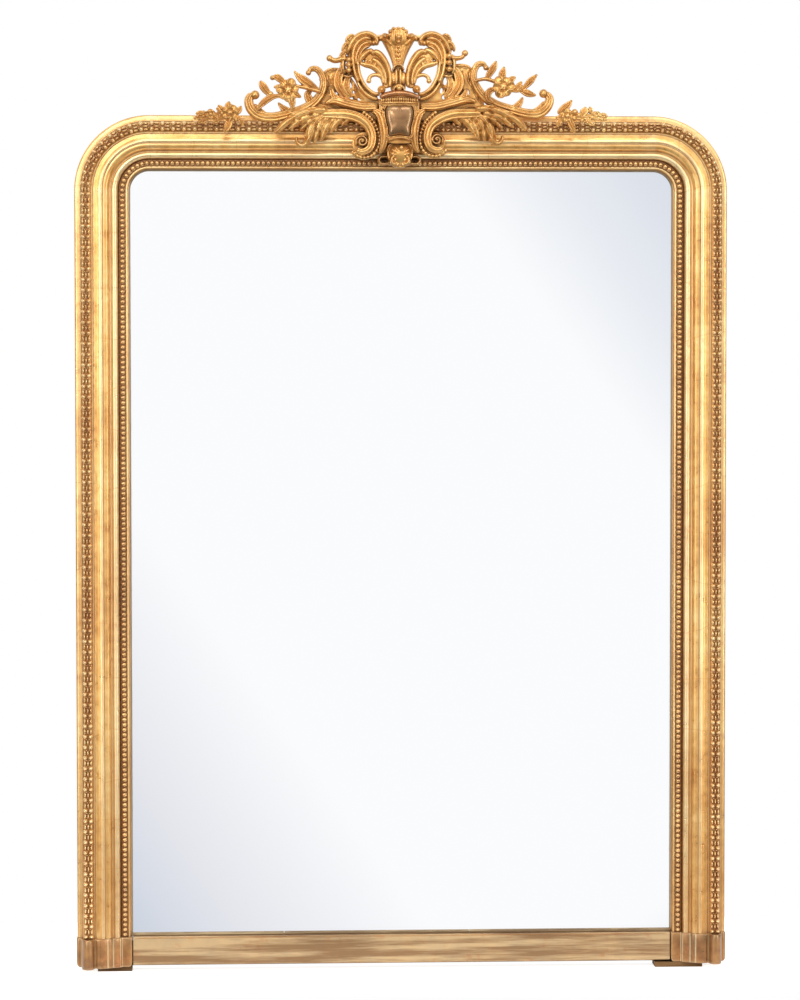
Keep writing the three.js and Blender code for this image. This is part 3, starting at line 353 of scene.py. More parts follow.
def top_run(dist, inset, across, _mirror=False):
    """Along the top, from one spring line to the other."""
    return -TOP_HALF + dist + 0 * across, FRAME_TOP - inset - across + 0 * dist


def side_total(inset):
    return SIDE_LENGTH + (CORNER_RADIUS - inset) * math.pi / 2


def rounded(parts):
    """Joins smooth stretches of a section, with a sharp break between one and the next."""
    out = []
    for part in parts:
        if len(part) < 3:
            out.append(np.asarray(part, float))
        else:
            out.append(spread([(a, b, 1) for a, b in part], 0.8)[0][:, :2])
    return np.vstack(out)


# Sections are lists of (inset from the outer edge, rise in front of the moulding's back).
MOULDING = rounded([
    [(2, 0), (0.4, 3), (0, 6), (0, 11)],
    [(0, 11), (1.2, 13.8), (4, 15.2), (8.5, 15.5)],
    [(8.5, 15.5), (9.6, 18), (10.6, 26), (12, 31), (16, 33.4), (21, 34.2), (26, 33.4), (30, 31), (31, 29.5)],
    [(31, 29.5), (32.6, 29.4)],
    [(32.6, 29.4), (34.6, 31), (38, 31.4), (41, 31.9), (44.5, 33.6), (47.5, 34.4), (49.6, 33.2)],
    [(49.6, 33.2), (51.4, 31.0)],
    [(51.4, 31.0), (54, 31.3), (58, 30.2), (61, 27.4), (63, 23.6)],
    [(63, 23.6), (64.5, 22.8), (66.6, 22.7)],
    [(66.6, 22.7), (68.4, 24.3), (71.5, 25.0), (74.6, 23.8), (77, 20.4)],
    [(77, 20.4), (78.4, 13), (79.6, 11)],
    [(79.6, 11), (90.6, 11)],
    [(90.6, 11), (91.2, 13), (93, 13.8), (95, 12.8), (96.4, 10.4), (97, 7.6)],
    [(97, 7.6), (97, 0)],
])


def moulding(name, dists, run, mirror=False):
    shell = Shell()
    dists = np.asarray(dists, float)[:, None]
    inset, rise = MOULDING[:, 0][None, :], MOULDING[:, 1][None, :]
    x, z = run(dists, 0.0, inset, mirror)
    rows = np.stack([x, z, MOULDING_BACK + rise + 0 * dists], -1)
    flow = np.stack([dists + 0 * inset, inset + 0 * dists, rise + 0 * dists], -1)
    shell.grid(rows, flow=flow)
    piece(name + "_gilt", shell.mesh(name + "_gilt"), GILT_MOULDING, [name], angle=28)


def build_mouldings():
    straight = np.linspace(0, SIDE_LENGTH, 60)
    bend = SIDE_LENGTH + np.linspace(0, CORNER_RADIUS * math.pi / 2, 33)
    for side, mirror in (("left", False), ("right", True)):
        moulding(f"moulding_stile_{side}", straight, side_run, mirror)
        moulding(f"moulding_corner_{side}", bend, side_run, mirror)
    moulding("moulding_top", np.linspace(0, 2 * TOP_HALF, 50), top_run)


def strung(name, inset, run, mirror, total, pitch, unit, material):
    """Repeats a unit of eggs along a run. An egg is (along, across, rise, its three half sizes)."""
    shell = Shell()
    count = round(total / pitch)
    step = total / count
    template = Shell()
    for along, across, rise, a, b, c in unit:
        template.ball((along, across, rise), (a, b, c), 12, 9)
    local = np.concatenate(template.places)
    for i in range(count):
        dist = (i + 0.5) * step + local[:, 0] * step / pitch
        x, z = run(dist, inset, local[:, 1], mirror)
        base = shell.put(np.stack([x, z, local[:, 2]], -1))
        shell.faces.extend([[q + base for q in face] for face in template.faces])
    piece(name + "_gilt", shell.mesh(name + "_gilt"), material, [name], angle=60)


def build_strings():
    seat = MOULDING_BACK + PEARL_SEAT
    pearl = [(0, 0, seat + 2.6, 4.4, 4.9, 5.0)]
    crown = MOULDING_BACK + BAND_CROWN
    band = [(3.4, 0, crown + 1.6, 4.8, 1.8, 5.6)]
    for side in (-1, 1):
        band += [(-5.0, side * 4.8, crown + 2.6, 3.9, 4.1, 7.4),
                 (3.6, side * 5.3, crown + 0.8, 4.6, 2.1, 5.6),
                 (9.0, side * 2.6, crown + 1.0, 1.1, 2.2, 4.2)]
    for name, inset, pitch, unit, material in (
            ("pearls", PEARL_INSET, PEARL_PITCH, pearl, GILT_PEARL), ("band", BAND_INSET, BAND_PITCH, band, GILT_BAND)):
        total = side_total(inset)
        strung(f"{name}_left", inset, side_run, False, total, pitch, unit, material)
        strung(f"{name}_right", inset, side_run, True, total, pitch, unit, material)
        strung(f"{name}_top", inset, top_run, False, 2 * TOP_HALF, pitch, unit, material)


PLINTH = rounded([
    [(0, 0), (0, 13)],
    [(0, 13), (0.8, 16.4), (3, 18), (8.5, 18.8)],
    [(8.5, 18.8), (9.2, 22)],
    [(9.2, 22), (9.8, 36), (12, 44.5), (16, 50), (21, 51.8), (26, 50), (30, 44.5), (32, 38.5)],
    [(32, 38.5), (33.6, 36)],
    [(33.6, 36), (38, 37.8), (43, 38), (49, 36), (55, 32.8)],
    [(55, 32.8), (56.5, 33), (60, 31.5), (64, 28)],
    [(64, 28), (66, 28), (71, 26), (77, 22.4)],
    [(77, 22.4), (79, 19.4)],
    [(79, 19.4), (94, 19.2), (96.2, 17.8), (97, 15)],
    [(97, 15), (97, 0)],
])


def build_plinths():
    """Each level is (height over the packer, how far the faces draw in there)."""
    stretch = PLINTH_WIDTH / MOULDING_WIDTH
    levels = [(0, 2.2), (0.5, 1.2), (1.4, 0.4), (2.6, 0), (5, 0), (8, 0), (14, 0), (27, 0), (40, 0), (51.4, 0),
              (52.8, 0.4), (53.6, 1.1), (54, 2)]
    for side, sign in (("left", -1), ("right", 1)):
        shell = Shell()
        rows = []
        for up, pull in levels:
            inset = np.clip(PLINTH[:, 0] * stretch, pull * 0.8, PLINTH_WIDTH - pull * 0.8)
            below = max(0.0, 1 - up / PLINTH_CORNER_RISE)
            corner = PLINTH_CORNER * (1 - math.sqrt(max(0.0, 1 - below ** 2)))
            inset = np.clip(inset, corner, PLINTH_WIDTH - corner)
            rise = np.maximum(PLINTH[:, 1] - pull * (PLINTH[:, 1] > 5), 0)
            x = sign * (HALF_WIDTH + PLINTH_PROUD - inset)
            rows.append(np.stack([x, PACKER + up + 0 * x, MOULDING_BACK + rise], -1))
        shell.grid(rows)
        piece(f"plinth_{side}_gilt", shell.mesh(f"plinth_{side}_gilt"), GILT_PLINTH,
              [f"plinth_{side}"], angle=32)


def level_run(shell, section, low, high, count, foot, back):
    """Runs a section of (height, rise) level from one side to the other."""
    xs = np.linspace(low, high, count)[:, None]
    shell.grid(np.stack([xs + 0 * section[:, 0], foot + section[:, 0] + 0 * xs, back + section[:, 1] + 0 * xs], -1))


def build_rail():
    low, top = PACKER + RAIL_LIFT, PLINTH_TOP
    section = rounded([
        [(low, 0), (low, 12.6)],
        [(low, 12.6), (low + 0.7, 14.3), (low + 2.4, 15)],
        [(low + 2.4, 15), (top - 4.2, 15)],
        [(top - 4.2, 15), (top - 3, 16), (top - 1.6, 16.5), (top - 0.4, 15.9), (top, 14.4)],
        [(top, 14.4), (top, 0)],
    ])
    shell = Shell()
    level_run(shell, section, -RAIL_HALF, RAIL_HALF, 90, 0, MOULDING_BACK)
    piece("rail_front_gilt", shell.mesh("rail_front_gilt"), GILT_RAIL, ["rail_front"], angle=30)


def build_sill():
    """The pale edge of the rebate's lower board, seen over the rail, with the joints of its three lengths."""
    section = rounded([
        [(0, 0), (0, 2.6)],
        [(0, 2.6), (0.5, 3.4), (1.4, 3.7)],
        [(1.4, 3.7), (4.6, 3.3)],
        [(4.6, 3.3), (5.4, 2.8), (5.7, 1.8)],
        [(5.7, 1.8), (5.7, 0)],
    ])
    shell = Shell()
    for start, stop in ((-487.0, -214.0), (-212.8, 121.0), (122.2, 487.0)):
        level_run(shell, section, start, stop, 30, PLINTH_TOP + 0.05, GLASS_FRONT)
    piece("sill_strip", shell.mesh("sill_strip"), SILL, angle=40)


def build_shade_slip():
    """A thin dark slip between the moulding and the glass: painted reflection, standing in for the dark rebate seen in
    the glass edge.
    """
    half, low, high, radius = SIGHT_HALF, PLINTH_TOP, SIGHT_TOP, SIGHT_RADIUS
    outline = []
    for cx, cz, r, a0 in ((half - radius, high - radius, radius, 0), (-half + radius, high - radius, radius, 90),
                          (-half + 7, low + 7, 7, 180), (half - 7, low + 7, 7, 270)):
        for a in np.radians(np.linspace(a0, a0 + 90, 13)):
            outline.append((cx + r * math.cos(a), cz + r * math.sin(a), math.cos(a), math.sin(a)))
    o = np.array(outline + outline[:1])
    rows = []
    for out, depth in ((0.4, 27.35), (0.4, 30.5), (-1.2, 29.6), (-2.3, 27.6), (-2.3, 27.35)):
        rows.append(np.stack([o[:, 0] + o[:, 2] * out, o[:, 1] + o[:, 3] * out, depth + 0 * o[:, 0]], -1))
    rows = np.stack(rows, 1)
    rows[-1] = rows[0]
    shell = Shell().grid(rows, ends=False)
    data = shell.mesh("sight_slip")
    outward(data, weld=True)
    piece("sight_slip", data, SHADE_SLIP, angle=40)


# ---------------------------------------------------------------- materials

def nodes_of(name):
    material = bpy.data.materials.new(name)
    material.use_nodes = True
    tree = material.node_tree
    tree.nodes.clear()
    return material, tree


def add(tree, kind, values=None, **settings):
    node = tree.nodes.new(kind)
    for key, value in settings.items():
        setattr(node, key, value)
    for key, value in (values or {}).items():
        node.inputs[key].default_value = value
    return node


def wire(tree, source, target):
    tree.links.new(source, target)


def maths(tree, operation, a, b=None, clamp=False):
    node = add(tree, "ShaderNodeMath", operation=operation, use_clamp=clamp)
    for socket, value in ((0, a), (1, b)):
        if value is None:
            continue
        if isinstance(value, (int, float)):
            node.inputs[socket].default_value = value
        else:
            wire(tree, value, node.inputs[socket])
    return node.outputs[0]


def weigh(tree, a, share_a, b, share_b):
    """Adds two values, each times its share."""
    return maths(tree, "ADD", maths(tree, "MULTIPLY", a, share_a), maths(tree, "MULTIPLY", b, share_b))


def position(tree):
    return add(tree, "ShaderNodeTexCoord").outputs["Object"]


def axes(tree, vector):
    """The X, Y and Z of a vector."""
    node = add(tree, "ShaderNodeSeparateXYZ")
    wire(tree, vector, node.inputs[0])
    return node.outputs


def bump(tree, shader, height, strength, distance):
    relief = add(tree, "ShaderNodeBump", {"Strength": strength, "Distance": distance})
    wire(tree, height, relief.inputs["Height"])
    wire(tree, relief.outputs[0], shader.inputs["Normal"])


def blend(tree, share, a, b):
    """One shader where the share is 0 and the other where it is 1."""
    node = add(tree, "ShaderNodeMixShader")
    for socket, source in ((0, share), (1, a.outputs[0]), (2, b.outputs[0])):
        wire(tree, source, node.inputs[socket])
    return node


def surface(tree, shader, output="ShaderNodeOutputMaterial"):
    wire(tree, shader.outputs[0], add(tree, output).inputs[0])


def noise(tree, vector, scale, detail=3.0, rough=0.55, stretch=None):
    if stretch:
        mapped = add(tree, "ShaderNodeMapping", {"Scale": stretch})
        wire(tree, vector, mapped.inputs["Vector"])
        vector = mapped.outputs[0]
    node = add(tree, "ShaderNodeTexNoise", {"Scale": scale, "Detail": detail, "Roughness": rough})
    wire(tree, vector, node.inputs["Vector"])
    return node.outputs["Fac"]


def ramp(tree, source, stops):
    node = add(tree, "ShaderNodeValToRGB")
    elements = node.color_ramp.elements
    while len(elements) > 1:
        elements.remove(elements[-1])
    elements[0].position = stops[0][0]
    for position, _ in stops[1:]:
        elements.new(position)
    for element, (_, colour) in zip(elements, stops):
        shade = (colour,) * 3 if isinstance(colour, (int, float)) else colour
        element.color = (*shade, 1.0)
    wire(tree, source, node.inputs[0])
    return node.outputs[0]


def mix(tree, share, a, b):
    node = add(tree, "ShaderNodeMix", data_type="RGBA")
    for socket, value in ((0, share), (6, a), (7, b)):
        if isinstance(value, (int, float)):
            node.inputs[socket].default_value = value
        elif isinstance(value, tuple):
            node.inputs[socket].default_value = (*value, 1.0)
        else:
            wire(tree, value, node.inputs[socket])
    return node.outputs[2]


def srgb(r, g, b):
    return tuple(c / 12.92 / 255 if c <= 10 else ((c / 255 + 0.055) / 1.055) ** 2.4 for c in (r, g, b))


GOLD_LIGHT = srgb(255, 217, 146)
GOLD = srgb(242, 190, 112)
GOLD_DEEP = srgb(212, 150, 78)
BOLE = srgb(192, 122, 66)
# The next four are the browns of patina and painted shade in hollows, of painted shade across the moulding and at its
# foot, and the cream of painted highlights.
PATINA_AND_SHADE_BROWN = srgb(112, 66, 26)
SHADE_BROWN = srgb(160, 100, 46)
FOOT_SHADE_BROWN = srgb(178, 124, 62)
HIGHLIGHT_CREAM = srgb(255, 236, 190)
LEAF_METAL = 0.74
# Painted shade and painted highlight in stripes across the moulding, as (inset from the outer edge in tenths of a
# metre, share of the colour).
SECTION_SHADE = [(0.105, 0.0), (0.125, 0.7), (0.300, 0.7), (0.318, 0.0), (0.496, 0.0), (0.506, 0.45), (0.514, 0.45),
                (0.530, 0.0), (0.610, 0.0), (0.632, 0.42), (0.664, 0.42), (0.684, 0.0), (0.768, 0.0), (0.782, 0.85),
                (0.905, 0.85), (0.914, 0.0), (0.940, 0.0), (0.956, 0.8)]
SECTION_HIGHLIGHT = [(0.020, 0.0), (0.050, 0.35), (0.080, 0.1), (0.322, 0.1), (0.340, 0.35), (0.365, 0.0), (0.425, 0.0),
                  (0.450, 0.5), (0.485, 0.5), (0.500, 0.0), (0.680, 0.0), (0.700, 0.75), (0.750, 0.75), (0.768, 0.2),
                  (0.914, 0.2), (0.930, 0.4), (0.945, 0.0)]


def gilding(name, seams=True, wear=0.5, patina_and_shade=1.0, streaks=None, tint=None, rough=(0.26, 0.46), relief=0.25, depth=0.010,
            section=False):
    """Leaf over red bole, rubbed to the bole in patches, with a painted highlight on crowns and brown patina with
    painted shade in hollows; on a moulding also stripes of painted highlight and painted shade across it, and painted
    shade towards its foot.
    """
    material, tree = nodes_of(name)
    where = position(tree)
    base, mid, deep = tint or (GOLD_LIGHT, GOLD, GOLD_DEEP)
    broad = noise(tree, where, 9.0, 4.0, 0.6)
    cloud = noise(tree, where, 60.0, 4.0, 0.6)
    fine = noise(tree, where, 420.0, 3.0, 0.6)
    tone = weigh(tree, broad, 0.6, cloud, 0.4)
    colour = ramp(tree, tone, [(0.36, deep), (0.5, mid), (0.64, base)])
    pointed = add(tree, "ShaderNodeNewGeometry").outputs["Pointiness"]
    # Painted highlight: cream on convex crowns, found by pointiness.
    crown = ramp(tree, pointed, [(0.5, 0.0), (0.58, 1.0)])
    colour = mix(tree, maths(tree, "MULTIPLY", crown, 0.35), colour, HIGHLIGHT_CREAM)
    worn = ramp(tree, noise(tree, where, 34.0, 6.0, 0.68), [(0.60 - 0.06 * wear, 0.0), (0.68, 1.0)])
    worn = maths(tree, "MULTIPLY", worn, 0.25 + 0.6 * wear)
    colour = mix(tree, worn, colour, BOLE)
    if section:
        # Painted highlight and painted shade in stripes across the moulding's section, placed by the flow attribute's
        # inset.
        flow = add(tree, "ShaderNodeAttribute", attribute_name="flow")
        inset = maths(tree, "MULTIPLY", axes(tree, flow.outputs["Vector"])["Y"], 0.01)
        patchy = ramp(tree, broad, [(0.34, 0.55), (0.56, 1.0)])
        bright = maths(tree, "MULTIPLY", ramp(tree, inset, SECTION_HIGHLIGHT), patchy)
        colour = mix(tree, bright, colour, HIGHLIGHT_CREAM)
        colour = mix(tree, ramp(tree, inset, SECTION_SHADE), colour, SHADE_BROWN)
        # Painted shade: the moulding turns browner towards its foot.
        foot = ramp(tree, axes(tree, where)["Z"], [(0.04, 0.5), (0.42, 0.0)])
        colour = mix(tree, foot, colour, FOOT_SHADE_BROWN)
    if streaks:
        brushed = noise(tree, where, streaks[0], 5.0, 0.62, streaks[1])
        colour = mix(tree, ramp(tree, brushed, [(0.42, 0.75), (0.58, 0.0)]), colour, deep)
    if seams:
        cells = add(tree, "ShaderNodeTexVoronoi", {"Scale": 11.5, "Randomness": 0.42}, feature="DISTANCE_TO_EDGE")
        wire(tree, where, cells.inputs["Vector"])
        seam = ramp(tree, cells.outputs["Distance"], [(0.0, 0.42), (0.014, 0.0)])
        colour = mix(tree, seam, colour, deep)
    # Brown patina and painted shade in hollows and creases, by ambient occlusion and low pointiness.
    hollow = add(tree, "ShaderNodeAmbientOcclusion", {"Distance": depth}, samples=6, only_local=False)
    shade = ramp(tree, hollow.outputs["AO"], [(0.18, 1.0), (0.72, 0.0)])
    pit = ramp(tree, pointed, [(0.40, 1.0), (0.49, 0.0)])
    pit = maths(tree, "MULTIPLY", pit, 0.75)
    hollow_patina_and_shade = maths(tree, "MULTIPLY", maths(tree, "MAXIMUM", shade, pit), 0.92 * patina_and_shade)
    colour = mix(tree, hollow_patina_and_shade, colour, PATINA_AND_SHADE_BROWN)
    shader = add(tree, "ShaderNodeBsdfPrincipled", {"Coat Weight": 0.3, "Coat Roughness": 0.16})
    wire(tree, colour, shader.inputs["Base Color"])
    dull = maths(tree, "MAXIMUM", maths(tree, "MULTIPLY", worn, 0.5), maths(tree, "MULTIPLY", hollow_patina_and_shade, 0.7))
    wire(tree, maths(tree, "SUBTRACT", LEAF_METAL, dull), shader.inputs["Metallic"])
    low, high = rough
    gloss = ramp(tree, weigh(tree, cloud, 0.7, fine, 0.3), [(0.34, low), (0.66, high)])
    wire(tree, maths(tree, "ADD", gloss, maths(tree, "MULTIPLY", hollow_patina_and_shade, 0.25), clamp=True), shader.inputs["Roughness"])
    bump(tree, shader, weigh(tree, fine, 0.35, cloud, 0.8), relief, 0.0008)
    surface(tree, shader)
    return material


def timber(name, light, dark, stretch):
    """Old pine with its grain along the axis that the stretch leaves long."""
    material, tree = nodes_of(name)
    where = position(tree)
    grain = noise(tree, where, 5.0, 6.0, 0.6, stretch)
    rings = add(tree, "ShaderNodeTexWave", {"Scale": 5.0, "Distortion": 7.0, "Detail": 3.0, "Detail Scale": 1.2},
                wave_type="BANDS", bands_direction="DIAGONAL")
    mapped = add(tree, "ShaderNodeMapping", {"Scale": tuple(0.35 * s for s in stretch)})
    wire(tree, where, mapped.inputs["Vector"])
    wire(tree, mapped.outputs[0], rings.inputs["Vector"])
    tone = weigh(tree, grain, 0.55, rings.outputs["Fac"], 0.45)
    colour = ramp(tree, tone, [(0.25, dark), (0.7, light)])
    stain = ramp(tree, noise(tree, where, 7.0, 4.0, 0.6), [(0.42, 0.5), (0.62, 0.0)])
    colour = mix(tree, stain, colour, tuple(c * 0.45 for c in dark))
    # Painted shade: the pine turns darker in recesses, by ambient occlusion.
    hollow = add(tree, "ShaderNodeAmbientOcclusion", {"Distance": 0.02}, samples=6)
    colour = mix(tree, ramp(tree, hollow.outputs["AO"], [(0.2, 0.7), (0.7, 0.0)]), colour, tuple(c * 0.2 for c in dark))
    shader = add(tree, "ShaderNodeBsdfPrincipled", {"Specular IOR Level": 0.25})
    wire(tree, colour, shader.inputs["Base Color"])
    wire(tree, ramp(tree, grain, [(0.3, 0.8), (0.7, 0.65)]), shader.inputs["Roughness"])
    bump(tree, shader, tone, 0.35, 0.0006)
    surface(tree, shader)
    return material


def iron():
    material, tree = nodes_of("dark_iron")
    where = position(tree)
    cloud = noise(tree, where, 160.0, 5.0, 0.65)
    colour = ramp(tree, cloud, [(0.38, srgb(70, 44, 28)), (0.52, srgb(72, 66, 60)), (0.68, srgb(112, 104, 96))])
    shader = add(tree, "ShaderNodeBsdfPrincipled", {"Metallic": 0.85})
    wire(tree, colour, shader.inputs["Base Color"])
    wire(tree, ramp(tree, cloud, [(0.35, 0.68), (0.65, 0.36)]), shader.inputs["Roughness"])
    bump(tree, shader, cloud, 0.3, 0.0004)
    surface(tree, shader)
    return material


def silvering():
    """Old plate: cool and bright, browner and duller within a few millimetres of its edge, as tarnish and as painted
    shade of the rebate.
    """
    material, tree = nodes_of("old_mirror")
    where = position(tree)
    split = axes(tree, where)
    side = maths(tree, "SUBTRACT", SIGHT_HALF / 1000, maths(tree, "ABSOLUTE", split["X"]))
    low = maths(tree, "SUBTRACT", split["Z"], (PLINTH_TOP - ORIGIN_HEIGHT) / 1000)
    high = maths(tree, "SUBTRACT", (SIGHT_TOP - ORIGIN_HEIGHT) / 1000, split["Z"])
    edge = maths(tree, "MINIMUM", side, maths(tree, "MINIMUM", low, high))
    cloud = noise(tree, where, 26.0, 5.0, 0.7)
    near = maths(tree, "ADD", edge, maths(tree, "MULTIPLY", maths(tree, "SUBTRACT", cloud, 0.5), 0.004))
    # Tarnish and painted shade: the plate turns browner within about four millimetres of the sight's edge.
    edge_tarnish_and_shade = ramp(tree, near, [(0.0, 0.35), (0.004, 0.0)])
    colour = mix(tree, edge_tarnish_and_shade, srgb(252, 253, 254), srgb(150, 128, 104))
    shader = add(tree, "ShaderNodeBsdfPrincipled", {"Metallic": 1.0})
    wire(tree, colour, shader.inputs["Base Color"])
    wire(tree, ramp(tree, maths(tree, "ADD", edge_tarnish_and_shade, maths(tree, "MULTIPLY", cloud, 0.02)),
                    [(0.0, 0.02), (0.6, 0.3)]), shader.inputs["Roughness"])
    surface(tree, shader)
    return material


GILT = gilding("gilt_carving", seams=False, wear=0.25, patina_and_shade=1.0, depth=0.010, rough=(0.26, 0.42), relief=0.12,
               tint=(srgb(252, 210, 136), srgb(232, 176, 98), srgb(194, 134, 64)))
GILT_MOULDING = gilding("gilt_moulding", seams=True, wear=0.3, patina_and_shade=0.45, depth=0.010, section=True)
GILT_PEARL = gilding("gilt_pearls", seams=False, wear=0.2, patina_and_shade=0.7, rough=(0.2, 0.36), depth=0.004,
                     tint=(srgb(236, 188, 118), srgb(212, 156, 88), srgb(166, 114, 58)))
GILT_BAND = gilding("gilt_band", seams=False, wear=0.15, patina_and_shade=0.45, depth=0.0025, rough=(0.2, 0.34),
                    tint=(srgb(255, 232, 180), srgb(244, 200, 138), srgb(212, 156, 96)))
GILT_ARCH = gilding("gilt_arch", seams=False, wear=0.8, patina_and_shade=0.6, rough=(0.24, 0.4),
                    tint=(srgb(222, 158, 100), srgb(192, 128, 76), srgb(156, 98, 54)))
GILT_PLINTH = gilding("gilt_plinth", seams=True, wear=0.7, patina_and_shade=0.8,
                      tint=(srgb(180, 132, 78), srgb(154, 106, 58), srgb(120, 78, 40)))
GILT_RAIL = gilding("gilt_rail", seams=False, wear=0.3, patina_and_shade=0.7, streaks=(7.0, (0.5, 6.0, 10.0)),
                    tint=(srgb(172, 124, 70), srgb(150, 104, 56), srgb(120, 80, 42)), rough=(0.34, 0.58))
SILL = gilding("sill_grey", seams=False, wear=0.2, patina_and_shade=0.8, rough=(0.5, 0.7), streaks=(9.0, (0.6, 6.0, 14.0)),
               tint=(srgb(160, 136, 106), srgb(136, 112, 84), srgb(106, 82, 58)))
BURNISHED = gilding("gilt_burnished", seams=False, wear=0.2, patina_and_shade=0.6, rough=(0.24, 0.34), relief=0.04,
                    tint=(srgb(184, 140, 96), srgb(158, 116, 74), srgb(130, 90, 56)))
# Painted reflection: the dark brown of the slip that stands for the rebate seen in the glass edge.
SHADE_SLIP = gilding("painted_shade_slip", seams=False, wear=0.2, patina_and_shade=0.6, rough=(0.4, 0.6),
                    tint=(srgb(112, 88, 60), srgb(84, 64, 46), srgb(56, 42, 32)))
PINE_TALL = timber("aged_pine_upright", srgb(188, 152, 104), srgb(138, 102, 64), (14.0, 14.0, 0.9))
PINE_WIDE = timber("aged_pine_crosswise", srgb(192, 156, 108), srgb(142, 106, 68), (0.9, 14.0, 14.0))
IRON = iron()
MIRROR = silvering()


# ---------------------------------------------------------------- crest carvings

def edge_loop(outline, step=1.8):
    """A closed smooth line through an outline."""
    p = np.asarray(outline, float)
    ring = np.vstack([p[-2:], p, p[:3]])
    run = spread(np.hstack([ring, np.ones((len(ring), 1))]), step)[0][:, :2]
    half = len(run) // 2
    start = np.argmin(np.linalg.norm(run[:half] - p[0], axis=1))
    stop = half + np.argmin(np.linalg.norm(run[half:] - p[0], axis=1))
    return run[start:stop]


def slab(shell, outline, holes, back, front):
    """A board sawn to an outline. A hole is (x, height, its two half sizes, its turn in degrees)."""
    loops = [edge_loop(outline)]
    for x, z, a, b, *turn in holes:
        t = math.radians(turn[0] if turn else 0)
        w = np.linspace(0, 2 * math.pi, 18, endpoint=False)
        loops.append(np.stack([x + a * np.cos(w) * math.cos(t) - b * np.sin(w) * math.sin(t),
                               z + a * np.cos(w) * math.sin(t) + b * np.sin(w) * math.cos(t)], -1))
    flat = np.vstack(loops)
    triangles = tessellate_polygon([[Vector((x, z, 0)) for x, z in loop] for loop in loops])
    n = len(flat)
    base = shell.put(np.stack([flat[:, 0], FRAME_TOP + flat[:, 1], np.full(n, back)], -1))
    shell.put(np.stack([flat[:, 0], FRAME_TOP + flat[:, 1], np.full(n, front)], -1))
    for a, b, c in triangles:
        shell.faces.append([base + a, base + b, base + c])
        shell.faces.append([base + n + c, base + n + b, base + n + a])
    first = 0
    for loop in loops:
        m = len(loop)
        for i in range(m):
            p, q = base + first + i, base + first + (i + 1) % m
            shell.faces.append([p, q, q + n, p + n])
        first += m


def many(shell, back, rise, section, routes):
    """Sweeps one section along each of the routes."""
    for route in routes:
        sweep(shell, route, back, rise, section)


def build_panels():
    panels = {
        "lattice_left": (
            [[-140, 72], [-128, 85], [-113, 86], [-100, 84], [-84, 64], [-70, 44], [-52, 33], [-4, 30],
             [-4, 3], [-152, 3], [-152, 24], [-143, 40], [-137, 56]],
            [[-92, 57, 4, 6.5, 20], [-98, 45, 3, 6], [-89, 32, 3.5, 6], [-113, 41, 4, 7],
             [-84, 44, 2, 4, -15], [-124, 29, 2.5, 4.5], [-75, 31, 3.2, 2.2, -35]],
            [[(-146, 64, 2), (-139, 75, 3.6), (-128, 83, 4), (-114, 84, 4), (-101, 80, 3)],
             [(-131, 78, 2), (-128, 64, 4), (-131, 48, 4), (-138, 34, 2)],
             [(-118, 80, 2), (-110, 68, 4.5), (-106, 54, 4), (-105, 38, 3.4), (-110, 22, 1.6)],
             [(-126, 58, 1.6), (-119, 55, 3.6), (-108, 52, 3), (-102, 56, 1.6)],
             [(-101, 62, 1.6), (-93, 48, 3), (-84, 36, 3), (-74, 24, 1.6)],
             [(-128, 40, 1.6), (-119, 28, 3.4), (-104, 24, 3.4), (-92, 22, 1.6)],
             [(-84, 62, 1.4), (-82, 52, 2.6), (-78, 40, 3), (-66, 31, 1.6)],
             [(-142, 70, 3), (-136, 58, 6), (-137, 44, 6.4), (-145, 32, 3)],
             [(-116, 82, 3), (-121, 70, 6), (-122, 58, 6), (-116, 50, 3)],
             [(-150, 26, 3), (-134, 22, 6), (-116, 16, 6), (-100, 12, 3)]]),
        "lattice_right": (
            [[-3.7, 3], [-3.7, 30], [50, 34], [62, 46], [70, 60], [75, 76], [90, 90], [105, 93], [122, 92],
             [131, 84], [134, 62], [139, 45], [150, 28], [150, 3]],
            [[81, 64, 3.5, 7, -10], [74, 47, 2.5, 5.5, -10], [79, 35, 4, 4.5], [88, 47, 4, 3.5],
             [105, 50, 4, 7.5], [121, 45, 3, 5.5, 15]],
            [[(78, 78, 2), (90, 89, 3.6), (106, 92, 4), (121, 90, 4), (131, 82, 2.4)],
             [(93, 84, 2), (94, 70, 4), (97, 56, 4), (96, 38, 3), (92, 26, 1.6)],
             [(112, 88, 2), (113, 74, 4.5), (114, 58, 4), (113, 42, 3.2), (116, 26, 1.6)],
             [(127, 80, 2), (127, 64, 4), (129, 50, 3.4), (136, 34, 1.6)],
             [(84, 56, 1.4), (91, 55, 3), (100, 60, 3), (109, 62, 1.4)],
             [(72, 62, 1.4), (76, 56, 2.4), (82, 42, 2.6), (86, 34, 1.4)],
             [(98, 32, 1.4), (106, 36, 3), (118, 34, 3), (130, 26, 1.4)],
             [(124, 88, 3), (121, 76, 6.4), (124, 62, 7), (130, 50, 3)],
             [(104, 90, 3), (101, 80, 5.6), (103, 70, 5.4), (108, 62, 2)],
             [(140, 46, 3), (138, 36, 6), (144, 26, 4), (150, 20, 2)],
             [(150, 12, 3), (132, 18, 6), (114, 16, 6), (98, 12, 3)]]),
    }
    for name, (outline, holes, bars) in panels.items():
        shell = Shell()
        slab(shell, outline, holes, PANEL_BACK, PANEL_BACK + PANEL_THICKNESS)
        many(shell, PANEL_BACK + 4, 8.0, leaf, bars)
        gilded(name, shell)


